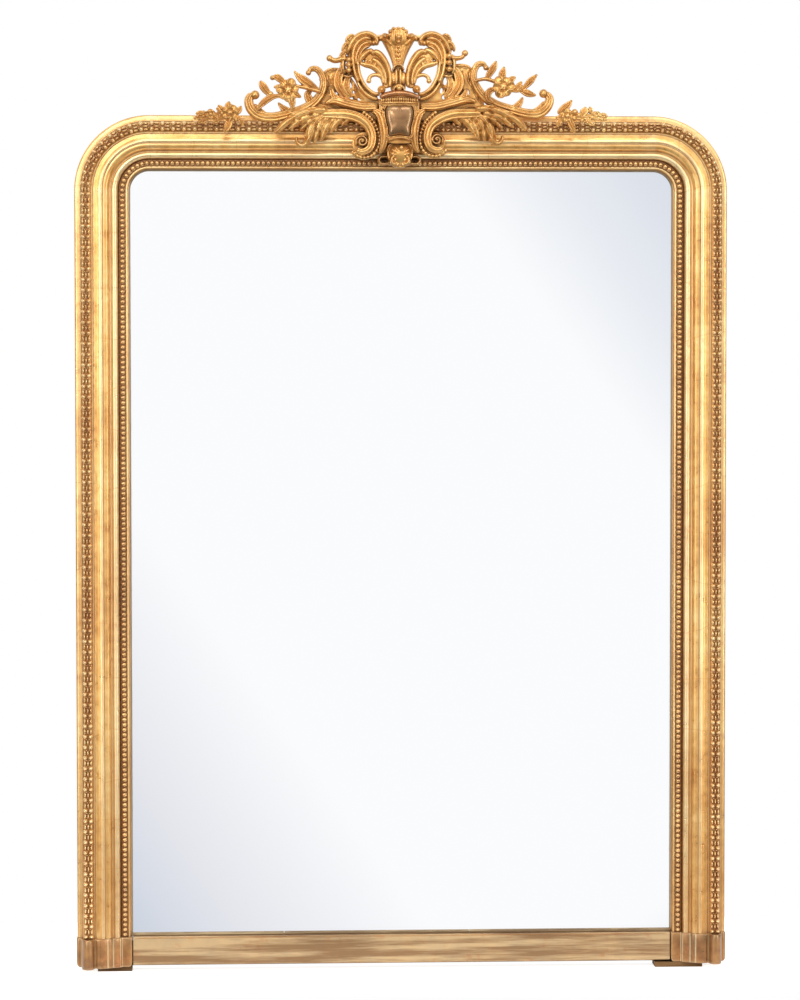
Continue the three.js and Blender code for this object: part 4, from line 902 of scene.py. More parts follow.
def build_side_scrolls():
    back = SCROLL_BACK - SINK
    left, right = Shell(), Shell()
    main = [(-166, 78, 3.6), (-162, 84, 5), (-152, 85, 6), (-143, 76, 6.4), (-139, 62, 7), (-142, 45, 7.8),
            (-153, 28, 8.6), (-175, 13, 9.4), (-203, 4, 9.6), (-232, -2, 9.6), (-256, 2, 9.6), (-270, 15, 9.4),
            (-273, 30, 8.4), (-267, 41, 6)]
    sweep(left, main, back, 13.0, reeds)
    dome(left, -166, 78, 5.2, SCROLL_BACK + 3, 7)
    dome(left, -262, 38, 8.4, SCROLL_BACK + 3, 10)
    many(left, back, 12.5, leaf, [
        [(-152, 20, 5), (-164, 29, 7.5), (-167, 41, 6.5), (-160, 47, 3)],
        [(-186, 6, 5), (-202, 9, 7), (-213, 16, 5.4), (-221, 25, 1.6)],
        [(-240, 2, 3), (-252, 10, 4.6), (-262, 22, 2)]])
    main = [(154, 89, 3.6), (149, 95, 5), (140, 94, 6), (133, 83, 6.4), (132, 68, 7), (138, 53, 7.6),
            (150, 37, 8.4), (172, 22, 9), (199, 13, 9.2), (228, 6, 9.4), (251, 7, 9.4), (265, 19, 9.2),
            (269, 33, 8.2), (263, 44, 5.6)]
    sweep(right, main, back, 13.0, reeds)
    dome(right, 154, 88, 5.2, SCROLL_BACK + 3, 7)
    dome(right, 258, 42, 8.2, SCROLL_BACK + 3, 9.5)
    many(right, back, 12.5, leaf, [
        [(190, 14, 5), (206, 16, 7), (216, 26, 5.4), (221, 36, 1.6)],
        [(160, 28, 4), (155, 38, 6), (160, 48, 2.6)],
        [(238, 10, 3), (250, 16, 4.4), (259, 28, 2)]])
    gilded("s_scroll_left", left)
    gilded("s_scroll_right", right)


def head_scroll(sign, x0, tendril, steps, panel, beads):
    """A tall C of ribs whose head rolls over an eye. Its table is drawn for the left one."""
    shell = Shell()
    back = SCROLL_BACK - SINK

    def own(route):
        return [(x0 + sign * x, z, half) for x, z, half in route]

    sweep(shell, own([(-50, 131, 8), (-62, 134, 13), (-75, 126, 14), (-84, 111, 12), (-86, 94, 10.4), (-81, 78, 8.6),
                      (-72, 62, 6)]), back, 9.5, roll)
    for route, proud, rise in (
            ([(-44.5, 127, 3.6), (-42.6, 136, 5), (-48.5, 144, 5.4), (-61, 148.6, 5.6), (-75, 145, 5.6),
              (-87, 134.5, 5.6), (-94, 120, 5), (-96, 111, 3)], 0, 15.5),
            ([(-53, 138.5, 2.6), (-62, 140, 4.6), (-73, 136, 5), (-81.5, 126.5, 5), (-86, 113, 5), (-86, 100, 4.8),
              (-84.5, 86, 4.6), (-81, 73, 4.4), (-76, 61, 4)], 1, 14.5),
            ([(-56, 131.5, 2.6), (-64, 131, 4), (-72, 125.5, 4.4), (-77.5, 116, 4.4), (-80, 104, 4), (-79.5, 92, 3)], 1,
             12.5),
            ([(-55, 126, 2), (-63, 123.5, 3.4), (-70, 116.5, 3.8), (-74.5, 106, 3.8), (-76.5, 94, 3.8), (-75, 79, 4),
              (-70, 65, 4), (-62, 52, 4), (-52, 43.4, 4), (-44, 40, 4), (-37, 41.5, 4)], 0, 12.5),
            ([(-80, 66, 2.4), (-73, 53, 3.6), (-64, 41.5, 4), (-52, 34, 4), (-40, 30.6, 3.6)], 0, 11.0)):
        sweep(shell, own(route), back + proud, rise, roll)
    dome(shell, x0 - sign * 49, 131.5, 5.4, SCROLL_BACK + 4, 11.5)
    for route in steps:
        sweep(shell, own(route), back + 1, 12.5, leaf)
    sweep(shell, own(tendril), back, 11.5, roll)
    bx, bz, _ = own(tendril)[-1]
    dome(shell, bx, bz, 6.0, SCROLL_BACK + 3, 7.5)
    for z, r in zip(beads, (6.0, 5.6, 5.2)):
        shell.ball((x0 + sign * -94, FRAME_TOP + z, SCROLL_BACK + 10.5), (5.6, r, 8), 12, 8)
    sweep(shell, own([(-100, 112, 3), (-103, 99, 4.4), (-103, 86, 4.4), (-100, 76, 3)]), back, 10.5, roll)
    many(shell, back + 3, 10.0, roll, [own(route) for route in panel])
    many(shell, back, 11.5, leaf, [
        own([(-100, 90, 4), (-110, 77, 8.5), (-113, 60, 9.5), (-106, 44, 8.4), (-93, 29, 4)]),
        own([(-90, 78, 4), (-97, 63, 6.4), (-96, 48, 6.4), (-86, 34, 3)]),
        own([(-126, 50, 3), (-121, 37, 6), (-108, 29, 5.6), (-94, 27, 3)])])
    return shell


def build_head_scrolls():
    back = SCROLL_BACK - SINK
    left = head_scroll(
        1, 0,
        [(-96, 104, 6), (-108, 102, 5.4), (-119, 100, 5), (-128, 104, 5)],
        [[(-84, 146, 2.4), (-91, 143.5, 4.2), (-96.5, 137, 3.6), (-98.5, 130, 1.6)],
         [(-90, 132, 3), (-98, 128.5, 4.8), (-103, 121, 4), (-105, 113, 1.6)],
         [(-95, 117, 3), (-103, 113, 5), (-108, 105, 4), (-109, 97, 1.6)]],
        [[(-104, 73, 2), (-95, 71, 2.6), (-86, 73, 2)], [(-107, 96, 1.6), (-108, 86, 2.4), (-105, 76, 1.6)]],
        (101, 91.5, 82))
    right = head_scroll(
        -1, -7,
        [(-97, 105, 6), (-109, 105, 4.6), (-118, 107, 4), (-123, 114, 3.8)],
        [[(-83, 147, 2.4), (-90, 145, 4.2), (-95.5, 139, 3.6), (-98, 132, 1.6)],
         [(-89, 134, 3), (-97, 131, 4.8), (-102, 124, 4), (-104, 116, 1.6)]],
        [[(-101, 74, 2), (-93, 72, 2.6), (-85, 74, 2)]],
        (108, 96.5, 85))
    for shell, route in (
            (left, [(-136, 23, 3), (-119, 29, 8), (-99, 24, 9.4), (-70, 18, 9.4), (-40, 18, 8)]),
            (right, [(136, 27, 3), (116, 31, 8), (94, 26, 9.4), (64, 19, 9.4), (34, 18, 8)])):
        sweep(shell, route, back, 12.0, four_reeds)
    gilded("c_scroll_left", left)
    gilded("c_scroll_right", right)


def build_plumes():
    centre = Shell()
    back = SCROLL_BACK - SINK
    x = -4.6
    sweep(centre, [(x, 78, 9.5), (x, 92, 10.5), (x, 106, 15), (x, 121, 22), (x, 133, 28.6), (x, 140, 32)],
          back, 13.0, five_reeds, blunt=0.15)
    sweep(centre, [(x, 126, 13), (x, 140, 18), (x, 150, 17), (x, 157, 13), (x, 160, 9)], back + 3, 13.0, five_reeds)
    for px, pz, r in ((16, 145, 4), (14, 152, 4.2), (8.4, 157, 3.8), (0, 157.6, 3.4)):
        for sign in (-1, 1) if px else (1,):
            dome(centre, x + sign * px, pz, r, back + 8, 8.5)
    for sign in (-1, 1):
        sweep(centre, [(x + 12 * sign, 127, 4), (x + 21 * sign, 136, 6), (x + 29 * sign, 141, 6.4),
                       (x + 35 * sign, 137, 4)],
              back + 2, 12.5, roll)
        dome(centre, x + 24 * sign, 142.6, 7.2, SCROLL_BACK + 5, 11.5)
        dome(centre, x + 24 * sign, 142.6, 3.2, SCROLL_BACK + 13, 7)
        centre.ball((x + 10 * sign, FRAME_TOP + 68, back + 9), (5.2, 13, 7.5), 12, 10)
        centre.ball((x + 3.8 * sign, FRAME_TOP + 70, back + 10), (3.6, 17, 7.5), 12, 10)
    sweep(centre, [(x, 44, 13), (x, 58, 15), (x, 72, 14), (x, 84, 11), (x, 92, 9)], back, 11.0, roll, blunt=0.3)
    sweep(centre, [(x - 10, 82, 2), (x - 6.6, 89.4, 2.4), (x, 92.6, 2.6), (x + 6.6, 89.4, 2.4), (x + 10, 82, 2)],
          back + 8, 11.0, roll)
    for z, r, proud in ((141, 4.6, 19), (133, 3.6, 16.5), (124, 3.1, 13), (116, 3.1, 12.5), (108, 2.8, 12),
                        (100, 2.2, 11.4)):
        dome(centre, x, z, r, back + proud, 1.2 * r + 0.4)
    gilded("plume_centre", centre, voxel=0.7)
    back = LEAF_BACK - SINK
    for side, sign, x0, rise in (("left", 1, 0.0, 0.0), ("right", -1, -7.6, 1.5)):
        shell = Shell()

        def own(route):
            return [(x0 + sign * px, pz + rise * (pz > 80), half) for px, pz, half in route]

        sweep(shell, own([(-26, 50, 7), (-26.5, 64, 9), (-32, 80, 12), (-43, 95, 15.5), (-57, 104, 16),
                          (-66, 106, 14)]),
              back - 4, 9.5, roll, blunt=0.3)
        sweep(shell, own([(-20.5, 52, 3.4), (-19.5, 68, 4.4), (-22.5, 84, 5.2), (-30, 100, 6), (-40, 112, 6.2),
                          (-50, 116, 5)]),
              back - 1, 13.5, roll)
        sweep(shell, own([(-28, 56, 3), (-28, 70, 4), (-33, 84, 5.2), (-42, 96, 5.6), (-53, 103, 4.4)]), back - 1, 11.5,
              roll)
        sweep(shell, own([(-32, 58, 2.6), (-34.5, 71, 3.8), (-41, 82, 5), (-52, 89, 5.4), (-64, 92, 5), (-74, 95, 3)]),
              back - 1, 10.5, roll)
        for px, pz in ((-47, 92), (-55, 96), (-63, 98)):
            dome(shell, x0 + sign * px, pz + rise, 3.6, back, 8.5)
        sweep(shell, own([(-50, 119, 3.6), (-60, 114.5, 5.4), (-69, 106.5, 6), (-75, 96, 3.4)]), back - 1, 12.5, roll)
        dome(shell, x0 - sign * 50.5, 113.5 + rise, 5.2, LEAF_BACK + 1.5, 10.5)
        sweep(shell, own([(-30, 64, 3), (-38, 71.5, 3.4), (-47, 74, 3.6), (-55, 71, 3.6), (-58.5, 64.5, 4)]), back, 8.0,
              roll)
        dome(shell, x0 - sign * 58, 63, 4.8, back + 3, 6)
        gilded(f"plume_{side}", shell, voxel=0.7)
    shell = Shell()
    slab(shell, [[-12, 33.5], [6, 33.5], [6, 133], [46, 135], [46, 143], [-54, 143], [-54, 135], [-12, 133]],
         [], PANEL_BACK, PANEL_BACK + LAYER)
    carved("crest_spine_gilt", shell, GILT_BAND, ["crest_spine"], voxel=1.2)


def build_cornice():
    back = LEAF_BACK - SINK
    arch = Shell()
    sweep(arch, [(-38.5, 33.5, 4.4), (-24, 38.6, 5.8), (-3.6, 41, 6.4), (17, 38.4, 5.8), (33, 32.5, 4.4)], back, 13.2,
          roll)
    carved("cornice_arch", arch, GILT_ARCH, ["cornice"])
    shell = Shell()
    slab(shell, [[-37, 33], [-35, 27], [-38, 21], [-33, 18.6], [26, 18.6], [31, 21], [28, 27], [31, 33], [-3, 37]], [],
         LEAF_BACK - 1, LEAF_BACK + 5.5)
    for i in range(17):
        a = -1 + 2 * i / 16
        shell.ball((-3.4 + 32 * a, FRAME_TOP + 30.0 - 2.4 * a * a, LEAF_BACK + 4.6), (1.75, 5.4, 6.2), 9, 7)
    sweep(shell, [(-38, 23, 1.8), (-20, 23.6, 2.2), (-3, 24, 2.4), (14, 23.6, 2.2), (31, 23, 1.8)], back, 10.5, roll)
    for px, pz in ((-35, 47.5), (28, 48.4)):
        dome(shell, px, pz, 7.6, LEAF_BACK, 8.5)
        dome(shell, px, pz, 4.0, LEAF_BACK + 4, 7)
    dome(shell, -3.6, 49.6, 5.6, LEAF_BACK + 3, 9)
    sweep(shell, [(-14, 44, 2), (-10.6, 51.5, 2.4), (-3.6, 55.8, 2.6), (3.4, 51.5, 2.4), (6.8, 44, 2)], back, 10.0,
          roll)
    gilded("cornice", shell, voxel=0.7)


def build_shield():
    shell = Shell()
    slab(shell, [[-36, 28], [-39, 12], [-36, -10], [-34, -38], [-28, -46], [22, -46], [28, -38], [30, -10], [33, 12],
                 [30, 28]], [], SCROLL_BACK, SCROLL_BACK + LAYER)
    back = SCROLL_BACK - SINK
    for route in ([(-50, 12, 4.4), (-39, 4, 8), (-32.5, -14, 9), (-30, -36, 8.6), (-33, -56, 6), (-39, -67, 3)],
                  [(44, 12, 4.4), (33, 4, 8), (26.5, -14, 9), (24, -36, 8.6), (27, -55, 6), (33, -65, 3)]):
        sweep(shell, route, back, 22.5, ribbon)
    edge = edge_loop(SHIELD_RIM, 1.4)
    edge = np.vstack([edge, edge[:2]])
    middle = np.array([-3.0, -8.0])
    for grow, half, rise in ((1.10, 1.7, 10.5), (1.22, 1.5, 9)):
        line = middle + (edge - middle) * np.array([grow, 1.0 + (grow - 1.0) * 0.7])
        sweep(shell, [(px, pz, half) for px, pz in line[::3]], LEAF_BACK - 3, rise, roll)
    sweep(shell, [(-24, -44, 2.6), (-13, -39.6, 3.4), (-3, -38.4, 3.8), (7, -39.6, 3.4), (18, -44, 2.6)], back, 24.5,
          roll)
    gilded("cartouche", shell, voxel=0.7)
    edge = edge_loop(SHIELD_RIM, 1.4)
    rings = []
    for scale, rise in ((1.0, -1.0), (1.045, 1.6), (1.03, 4.0), (0.985, 6.2), (0.91, 8.3), (0.81, 9.9), (0.66, 11.2),
                        (0.48, 12.0), (0.28, 12.4), (0.12, 12.5)):
        ring = middle + (edge - middle) * scale
        rings.append(np.stack([ring[:, 0], FRAME_TOP + ring[:, 1], np.full(len(ring), LEAF_BACK + rise)], -1))
    dome_shell = on_pattern(Shell().grid(np.array(rings)))
    piece("shield_burnished", dome_shell.mesh("shield_burnished"), BURNISHED, ["shield"], angle=50)
    shell = Shell()
    for lean in (-1, 0, 1):
        sweep(shell, [(-3 + 1.3 * lean, 14.5, 1.4), (-3 + 3.8 * lean, 10, 2.2),
                      (-3 + 4.8 * lean, 5 - 3 * (lean == 0), 0.8)],
              LEAF_BACK + 7.0, 5.2, keel)
    dome(shell, -3, 14, 2.4, LEAF_BACK + 6.5, 4.6)
    carved("shield_drop", shell, GILT_ARCH, [], voxel=0.5)


def build_pendant():
    shell = Shell()
    base = SCRIBE_BACK + 22
    x = -1.0
    slab(shell, [[-20, -44], [16, -44], [22, -58], [20, -76], [8, -90], [-10, -90], [-22, -76], [-24, -58]], [],
         MOULDING_BACK + 12, SCROLL_BACK)
    shell.ball((x, FRAME_TOP - 66, SCROLL_BACK - 6), (22.5, 23, 15), 24, 14)
    for i in range(7):
        a = math.pi * (0.02 + 0.96 * i / 6)
        c, s = math.cos(a), math.sin(a)
        sweep(shell, [(x + 6 * c, -70 + 5 * s, 2.4), (x + 13 * c, -68 + 11 * s, 3.8), (x + 20 * c, -65 + 16 * s, 4.2)],
              SCROLL_BACK - 8, 17.5, roll, lift=(2, 2, -3))
    for sign in (-1, 1):
        sweep(shell, [(x + 2 * sign, -71, 3), (x + 9 * sign, -70, 4.4), (x + 15.6 * sign, -76, 4.8),
                      (x + 13 * sign, -84, 4.6),
                      (x + 5 * sign, -84.6, 3.6)], SCROLL_BACK - 12, 21.0, roll)
        dome(shell, x + 9 * sign, -78, 4.4, SCROLL_BACK - 4, 11.5)
        sweep(shell, [(x + 2 * sign, -82, 3), (x + 5 * sign, -87, 3.6), (x + 9 * sign, -91, 2)], base, 22.0, roll)
        sweep(shell, [(x + 16 * sign, -74, 3), (x + 26 * sign, -71, 3.8), (x + 34 * sign, -72, 3.8),
                      (x + 37 * sign, -78, 3.6),
                      (x + 32 * sign, -83.6, 3.4), (x + 22 * sign, -83, 3.4), (x + 14 * sign, -82, 3)],
                      MOULDING_BACK + 14, 24.0, roll)
        sweep(shell, [(x + 12 * sign, -46, 3), (x + 21 * sign, -53, 4.4), (x + 23 * sign, -63, 3)], base + 2, 20.0,
              roll)
    dome(shell, x + 2, -56, 6.0, SCROLL_BACK + 4, 10)
    gilded("pendant", shell)


def build_acanthus():
    wings = {
        "left": dict(
            spiral=[(-146, 4, 8), (-120, 4.5, 10), (-94, 3, 10.6), (-70, -6, 10), (-56, -21, 9), (-51.5, -41, 8.4),
                    (-57, -58, 7.6), (-70, -64, 6.8), (-81.5, -60, 5.8)],
            eye=(-70, -45), pearls=[(-69, 9), (-60, 2), (-50.4, -7.4), (-41.4, -25.4), (-38, -42), (-43, -60),
                                    (-56, -72),
                                    (-74, -73), (-88, -62)],
            fronds=[[(-138, 2, 7), (-151, -7, 10), (-161, -21, 10), (-166.8, -38, 8), (-171, -49, 5),
                     (-179, -52.5, 4.4),
                     (-186.5, -46.5, 3.8), (-188, -36, 2.8)],
                    [(-128, 0, 7), (-141, -10, 9.6), (-149, -23, 9), (-153, -37, 6), (-157, -48, 2)],
                    [(-116, -3, 6), (-128, -12, 8), (-137, -24, 7.6), (-142, -38, 4.6), (-146, -45, 1.8)],
                    [(-104, -4, 5), (-115, -10, 6.6), (-122, -19, 6), (-127, -29, 2.4)],
                    [(-92, -5, 4), (-101, -10, 5), (-107, -17, 2.4)]],
            crossing=[[(-134, 11, 6), (-160, 9, 8.6), (-188, 0, 9), (-208, -13, 7.6), (-221, -25, 5.6),
                       (-228, -31, 4.4)],
                      [(-146, 3, 6), (-166, -2, 8.4), (-184, -10, 7.6), (-196, -18, 5), (-202, -24, 1.8)],
                      [(-148, -2, 5), (-163, -9, 6.6), (-174, -18, 5), (-182, -26, 2)]],
            curl=[(-162, -30, 4), (-168, -42, 5), (-177, -49, 3)], hub=(-66, -49, 21)),
        "right": dict(
            spiral=[(146, 6, 8), (120, 5.5, 10), (94, 4, 10.6), (69, -5, 10), (53, -19, 9), (47.5, -39, 8.4),
                    (52.5, -55, 7.6), (65, -61, 6.8), (76.5, -57, 5.8)],
            eye=(65, -42), pearls=[(65, 9), (56, 2), (46, -8), (38, -24), (34.5, -41), (38.5, -58), (51, -69),
                                   (69, -70),
                                   (83, -59)],
            fronds=[[(138, 4, 7), (151, -5, 10), (160, -19, 10), (165, -35, 8), (169, -45, 5), (176, -48, 4.4),
                     (183, -42, 3.8), (184, -33, 2.8)],
                    [(128, 2, 7), (141, -8, 9.6), (148, -21, 9), (151, -35, 6), (154, -45, 2)],
                    [(116, -1, 6), (128, -10, 8), (136, -22, 7.6), (140, -35, 4.6), (143, -42, 1.8)],
                    [(106, -2, 5), (117, -8, 6.6), (126, -18, 6), (133, -29, 2.4)],
                    [(94, -4, 4), (103, -9, 5), (109, -16, 2.4)]],
            crossing=[[(134, 14, 6), (162, 13, 8.6), (189, 4, 9), (209, -7, 7.6), (221, -18, 5.6), (227, -25, 3.4)],
                      [(148, 6, 6), (168, 2, 8.4), (185, -5, 7.6), (198, -14, 5), (205, -20, 1.8)],
                      [(150, 1, 5), (165, -5, 6.6), (176, -14, 5), (184, -22, 2)]],
            curl=[(158, -28, 4), (164, -40, 5), (173, -46, 3)], hub=(62, -46, 19)),
    }
    for side, wing in wings.items():
        shell = Shell()
        sign = -1 if side == "left" else 1
        deep = MOULDING_BACK + 10
        hx, hz, hr = wing["hub"]
        slab(shell, [[hx + hr * math.cos(a), hz + hr * math.sin(a)] for a in np.linspace(0, 2 * math.pi, 9)[:-1]], [],
             deep, SCROLL_BACK - 4)
        back = SCROLL_BACK - SINK
        sweep(shell, wing["spiral"], back, 17.0, ribbon, lift=(0, 2, 3))
        x, z = wing["eye"]
        coil = []
        for i in range(15):
            a, r = math.pi * (1.2 - 0.24 * i), 11.2 - 0.66 * i
            coil.append((x + sign * -r * math.cos(a), z + r * math.sin(a), 2.9 - 0.05 * i))
        sweep(shell, coil, SCROLL_BACK - 6, 17.0, roll, lift=(0, 4, 8), step=1.0)
        dome(shell, x, z, 3.4, SCROLL_BACK + 2, 14)
        bed = [(px, pz, 4.4) for px, pz in wing["pearls"]]
        sweep(shell, bed, back, 7.0, cup)
        pearls_on(shell, bed, SCROLL_BACK + 6.5, 3.1, 6.6)
        for i, route in enumerate(wing["fronds"]):
            sweep(shell, route, back - 2 * i % 3, 17.5 - 1.5 * i, veined, lobes=3 if i < 3 else 0, bite=0.22)
        for i, route in enumerate(wing["crossing"]):
            sweep(shell, route, LEAF_BACK - 6 - 3 * i, 16.0, veined, lobes=3, bite=0.22)
        sweep(shell, wing["curl"], deep + 6, 48.0, roll)
        gilded(f"acanthus_{side}", shell)


def build_flower_sprays():
    back = LEAF_BACK - SINK
    left, right = Shell(), Shell()
    flower(left, -203, 46, 21.5, 7, LEAF_BACK, 13.5, 0.3)
    many(left, back, 11.5, leaf, [
        [(-208, 56, 4), (-214, 63, 6), (-223, 69, 6.5), (-231, 68, 2.4)],
        [(-148, 45, 4), (-164, 56, 8), (-178, 66, 8), (-188, 75, 4), (-192, 81, 1.4)],
        [(-192, 42, 4), (-186, 37, 5), (-179, 33, 1.6)],
        [(-200, 38, 5), (-196, 26, 7), (-195, 12, 3)],
        [(-212, 36, 4), (-226, 35, 4.4), (-239, 30, 6.4), (-250, 21, 5.6), (-259, 11, 2.4)],
        [(-232, 34, 3), (-242, 45, 6.8), (-249, 55, 7), (-253, 63, 2.4)],
        [(-214, 50, 3), (-222, 52, 4.4), (-229, 51, 1.6)]])
    sweep(left, [(-190, 54, 3), (-170, 50, 3.6), (-156, 46, 3.6), (-144, 43, 3)], back, 9.0, roll)
    dome(left, -231, 68, 4.6, LEAF_BACK + 2, 7)
    dome(left, -234, 39, 5, LEAF_BACK + 2, 6)
    flower(right, 184, 53, 20.5, 6, LEAF_BACK, 13.5, 0.1)
    many(right, back, 11.5, leaf, [
        [(154, 66, 4), (160, 77, 6.4), (167, 88, 6.6), (172, 100, 1.6)],
        [(180, 64, 5), (183, 77, 7), (186, 90, 1.6)],
        [(192, 60, 5), (200, 67, 6), (207, 71, 2)],
        [(168, 50, 5), (158, 43, 6.5), (158, 31, 5), (167, 25, 2.4)],
        [(196, 47, 3), (210, 46, 3.5), (222, 52, 4.4), (234, 64, 6.4), (246, 76, 1.6)],
        [(214, 47, 3), (228, 42, 6.8), (238, 39, 4.4), (244, 38, 1.6)],
        [(206, 47, 3), (213, 56, 5.4), (218, 63, 2)]])
    sweep(right, [(132, 63, 3), (152, 67, 3.6), (178, 59, 3.6)], back, 9.0, roll)
    gilded("flower_spray_left", left, voxel=0.7)
    gilded("flower_spray_right", right, voxel=0.7)


def build_garlands():
    back = SCROLL_BACK - SINK
    left, right = Shell(), Shell()
    sweep(left, [(-373, -4, 3.4), (-350, 0, 4.6), (-318, 1, 6), (-285, -3, 3)], back, 8.0, leaf)
    flower(left, -342, 3, 10, 5, SCROLL_BACK, 10.5, 0.4)
    flower(left, -307, 6, 15.5, 5, SCROLL_BACK, 12.5, 0.9)
    many(left, back, 10.5, leaf, [
        [(-312, 12, 5), (-310, 20, 6.4), (-308, 27, 1.6)],
        [(-316, 8, 4), (-323, 14, 5.4), (-329, 20, 1.6)],
        [(-298, 4, 5), (-290, 12, 5.4), (-287, 19, 1.6)],
        [(-306, -4, 6), (-311, -17, 7.6), (-318, -30, 1.8)],
        [(-292, -2, 4), (-286, -10, 5), (-284, -18, 1.6)],
        [(-322, -2, 4), (-331, -8, 5), (-339, -13, 1.6)],
        [(-352, 2, 3), (-360, 6, 4.6), (-369, 4, 1.6)],
        [(-346, -4, 3), (-356, -9, 4.6), (-366, -10, 1.6)],
        [(-330, 2, 3), (-326, 9, 4.6), (-332, 15, 1.6)]])
    for x, z, r in ((-322, 5, 4.6), (-330, -3, 4), (-354, 7, 3.6), (-296, -6, 4.4), (-365, 0, 3.4)):
        dome(left, x, z, r, SCROLL_BACK, 8.5)
    sweep(right, [(280, -1, 3), (305, 1, 6), (345, 0, 5), (374, -5, 3)], back, 8.0, leaf)
    flower(right, 301, 2, 12.5, 5, SCROLL_BACK, 12.0, 0.2)
    flower(right, 353, 2, 9.5, 5, SCROLL_BACK, 10.0, 0.7)
    many(right, back, 10.5, leaf, [
        [(284, 6, 4), (295, 15, 7.4), (303, 22, 6), (310, 31, 1.6)],
        [(327, 3, 6), (333, 12, 7.4), (334, 19, 1.8)],
        [(304, -4, 6), (310, -16, 6.6), (315, -29, 1.4)],
        [(290, -4, 4), (285, -12, 5), (284, -19, 1.6)],
        [(336, -2, 4), (342, -10, 5), (350, -15, 1.6)],
        [(342, 6, 3), (344, 13, 4.4), (341, 19, 1.4)],
        [(360, 2, 3), (367, 4, 4.6), (375, 0, 1.6)]])
    for x, z, r, proud in ((315, 9, 6, 9.5), (322, 3, 5, 8.5), (328, -6, 4.4, 8), (314, -3, 4.6, 8.5),
                           (364, -4, 3.6, 7)):
        dome(right, x, z, r, SCROLL_BACK, proud)
    gilded("garland_left", left, voxel=0.7)
    gilded("garland_right", right, voxel=0.7)


# ---------------------------------------------------------------- back of the frame

def paint_nodes():
    wide = ["top_rail", "bottom_rail", "batten_lower", "batten_upper", "packer_left", "packer_right", "crest_rest",
            "glazing_bead_top", "glazing_bead_bottom"]
    tall = ["stile_left", "stile_right", "corner_block_left", "corner_block_right", "backboard_1", "backboard_2",
            "backboard_3", "glazing_bead_left", "glazing_bead_right"]
    metal = ["hanger_left", "hanger_right", "ring_left", "ring_right"]
    for names, material in ((wide, PINE_WIDE), (tall, PINE_TALL), (metal, IRON), (["mirror_glass"], MIRROR)):
        for name in names:
            for obj in node_objects(name):
                for slot in obj.material_slots:
                    slot.material = material


def node_objects(name):
    """The meshes of one node of the solids."""
    meshes = [obj for obj in bpy.data.objects if obj.type == "MESH"]
    return [obj for obj in meshes if obj.name == name or obj.name.startswith(name + ".")]


def screw(shell, x, z, depth, radius, turn):
    """A countersunk slotted head that looks back at the wall, with its crown a hair proud."""
    a = np.linspace(0, 2 * math.pi, 20, endpoint=False)
    rows = []
    for r, d in ((0.35, 0.5), (1.0, 0.5), (1.0, -0.15), (0.9, -0.55), (0.55, -0.8), (0.2, -0.85)):
        c, s = radius * r * np.cos(a), radius * r * np.sin(a)
        across = -c * math.sin(turn) + s * math.cos(turn)
        groove = 0.55 * (np.abs(across) < radius * 0.22) * (d < -0.3)
        rows.append(np.stack([x + c, z + s, depth + d + groove], -1))
    shell.grid(np.array(rows))


def build_fixings():
    boards = Shell()
    for z, xs in zip(BATTEN_HEIGHTS, ((-512, -440, -180, 175, 445, 508), (-470, -160, 150, 466))):
        for i, x in enumerate(xs):
            screw(boards, x, z - 9 + 18 * (i % 2), SCREW_DEPTH, 3.4, 0.3 + i)
    piece("batten_screws", boards.mesh("batten_screws"), IRON, angle=30)


# ---------------------------------------------------------------- stage

def build_world():
    world = bpy.data.worlds.new("studio")
    bpy.context.scene.world = world
    world.use_nodes = True
    tree = world.node_tree
    tree.nodes.clear()
    split = axes(tree, add(tree, "ShaderNodeTexCoord").outputs["Generated"])
    x, y, z = split["X"], split["Y"], split["Z"]
    slope = maths(tree, "SUBTRACT", weigh(tree, x, 0.816, z, 0.577), 0.0072)
    pane = ramp(tree, maths(tree, "ADD", maths(tree, "MULTIPLY", slope, 3.2), 0.5), [
        (0.0, (0.56, 0.61, 0.71)), (0.11, (0.61, 0.66, 0.75)), (0.20, (0.81, 0.81, 0.85)), (0.33, (0.985, 0.985, 0.99)),
        (0.73, (0.985, 0.985, 0.99)), (0.80, (0.84, 0.86, 0.90)), (0.89, (0.71, 0.74, 0.81)),
        (1.0, (0.66, 0.69, 0.76))])
    toward = maths(tree, "SUBTRACT", weigh(tree, x, 0.0525, z, -0.055), maths(tree, "MULTIPLY", y, 0.997))
    facing = ramp(tree, toward, [(0.9855, 0.0), (0.9900, 1.0)])
    around = ramp(tree, maths(tree, "MULTIPLY", maths(tree, "ADD", z, 1.0), 0.5), [
        (0.22, (0.20, 0.19, 0.17)), (0.36, (0.36, 0.34, 0.31)), (0.46, (0.60, 0.57, 0.52)), (0.53, (0.78, 0.75, 0.69)),
        (0.62, (1.0, 0.98, 0.92)), (0.82, (1.0, 0.98, 0.92)), (0.94, (0.5, 0.48, 0.44))])
    windows = ramp(tree, maths(tree, "MULTIPLY", maths(tree, "ADD", x, 1.0), 0.5), [
        (0.08, 0.35), (0.20, 1.0), (0.30, 1.0), (0.38, 0.70), (0.50, 0.95), (0.60, 0.80), (0.68, 1.0), (0.82, 1.0),
        (0.94, 0.35)])
    around = mix(tree, windows, (0.05, 0.045, 0.04), around)
    rays = add(tree, "ShaderNodeLightPath").outputs
    ahead = add(tree, "ShaderNodeBackground", {"Strength": 1.0})
    wire(tree, pane, ahead.inputs["Color"])
    about = add(tree, "ShaderNodeBackground", {"Strength": 1.35})
    wire(tree, around, about.inputs["Color"])
    mirrored = blend(tree, facing, about, ahead)
    plain = add(tree, "ShaderNodeBackground", {"Color": (1, 1, 1, 1), "Strength": 0.42})
    white = add(tree, "ShaderNodeBackground", {"Color": (1, 1, 1, 1), "Strength": 1.0})
    shiny = maths(tree, "MAXIMUM", rays["Is Glossy Ray"], rays["Is Transmission Ray"])
    unseen = blend(tree, shiny, plain, mirrored)
    surface(tree, blend(tree, rays["Is Camera Ray"], unseen, white), "ShaderNodeOutputWorld")


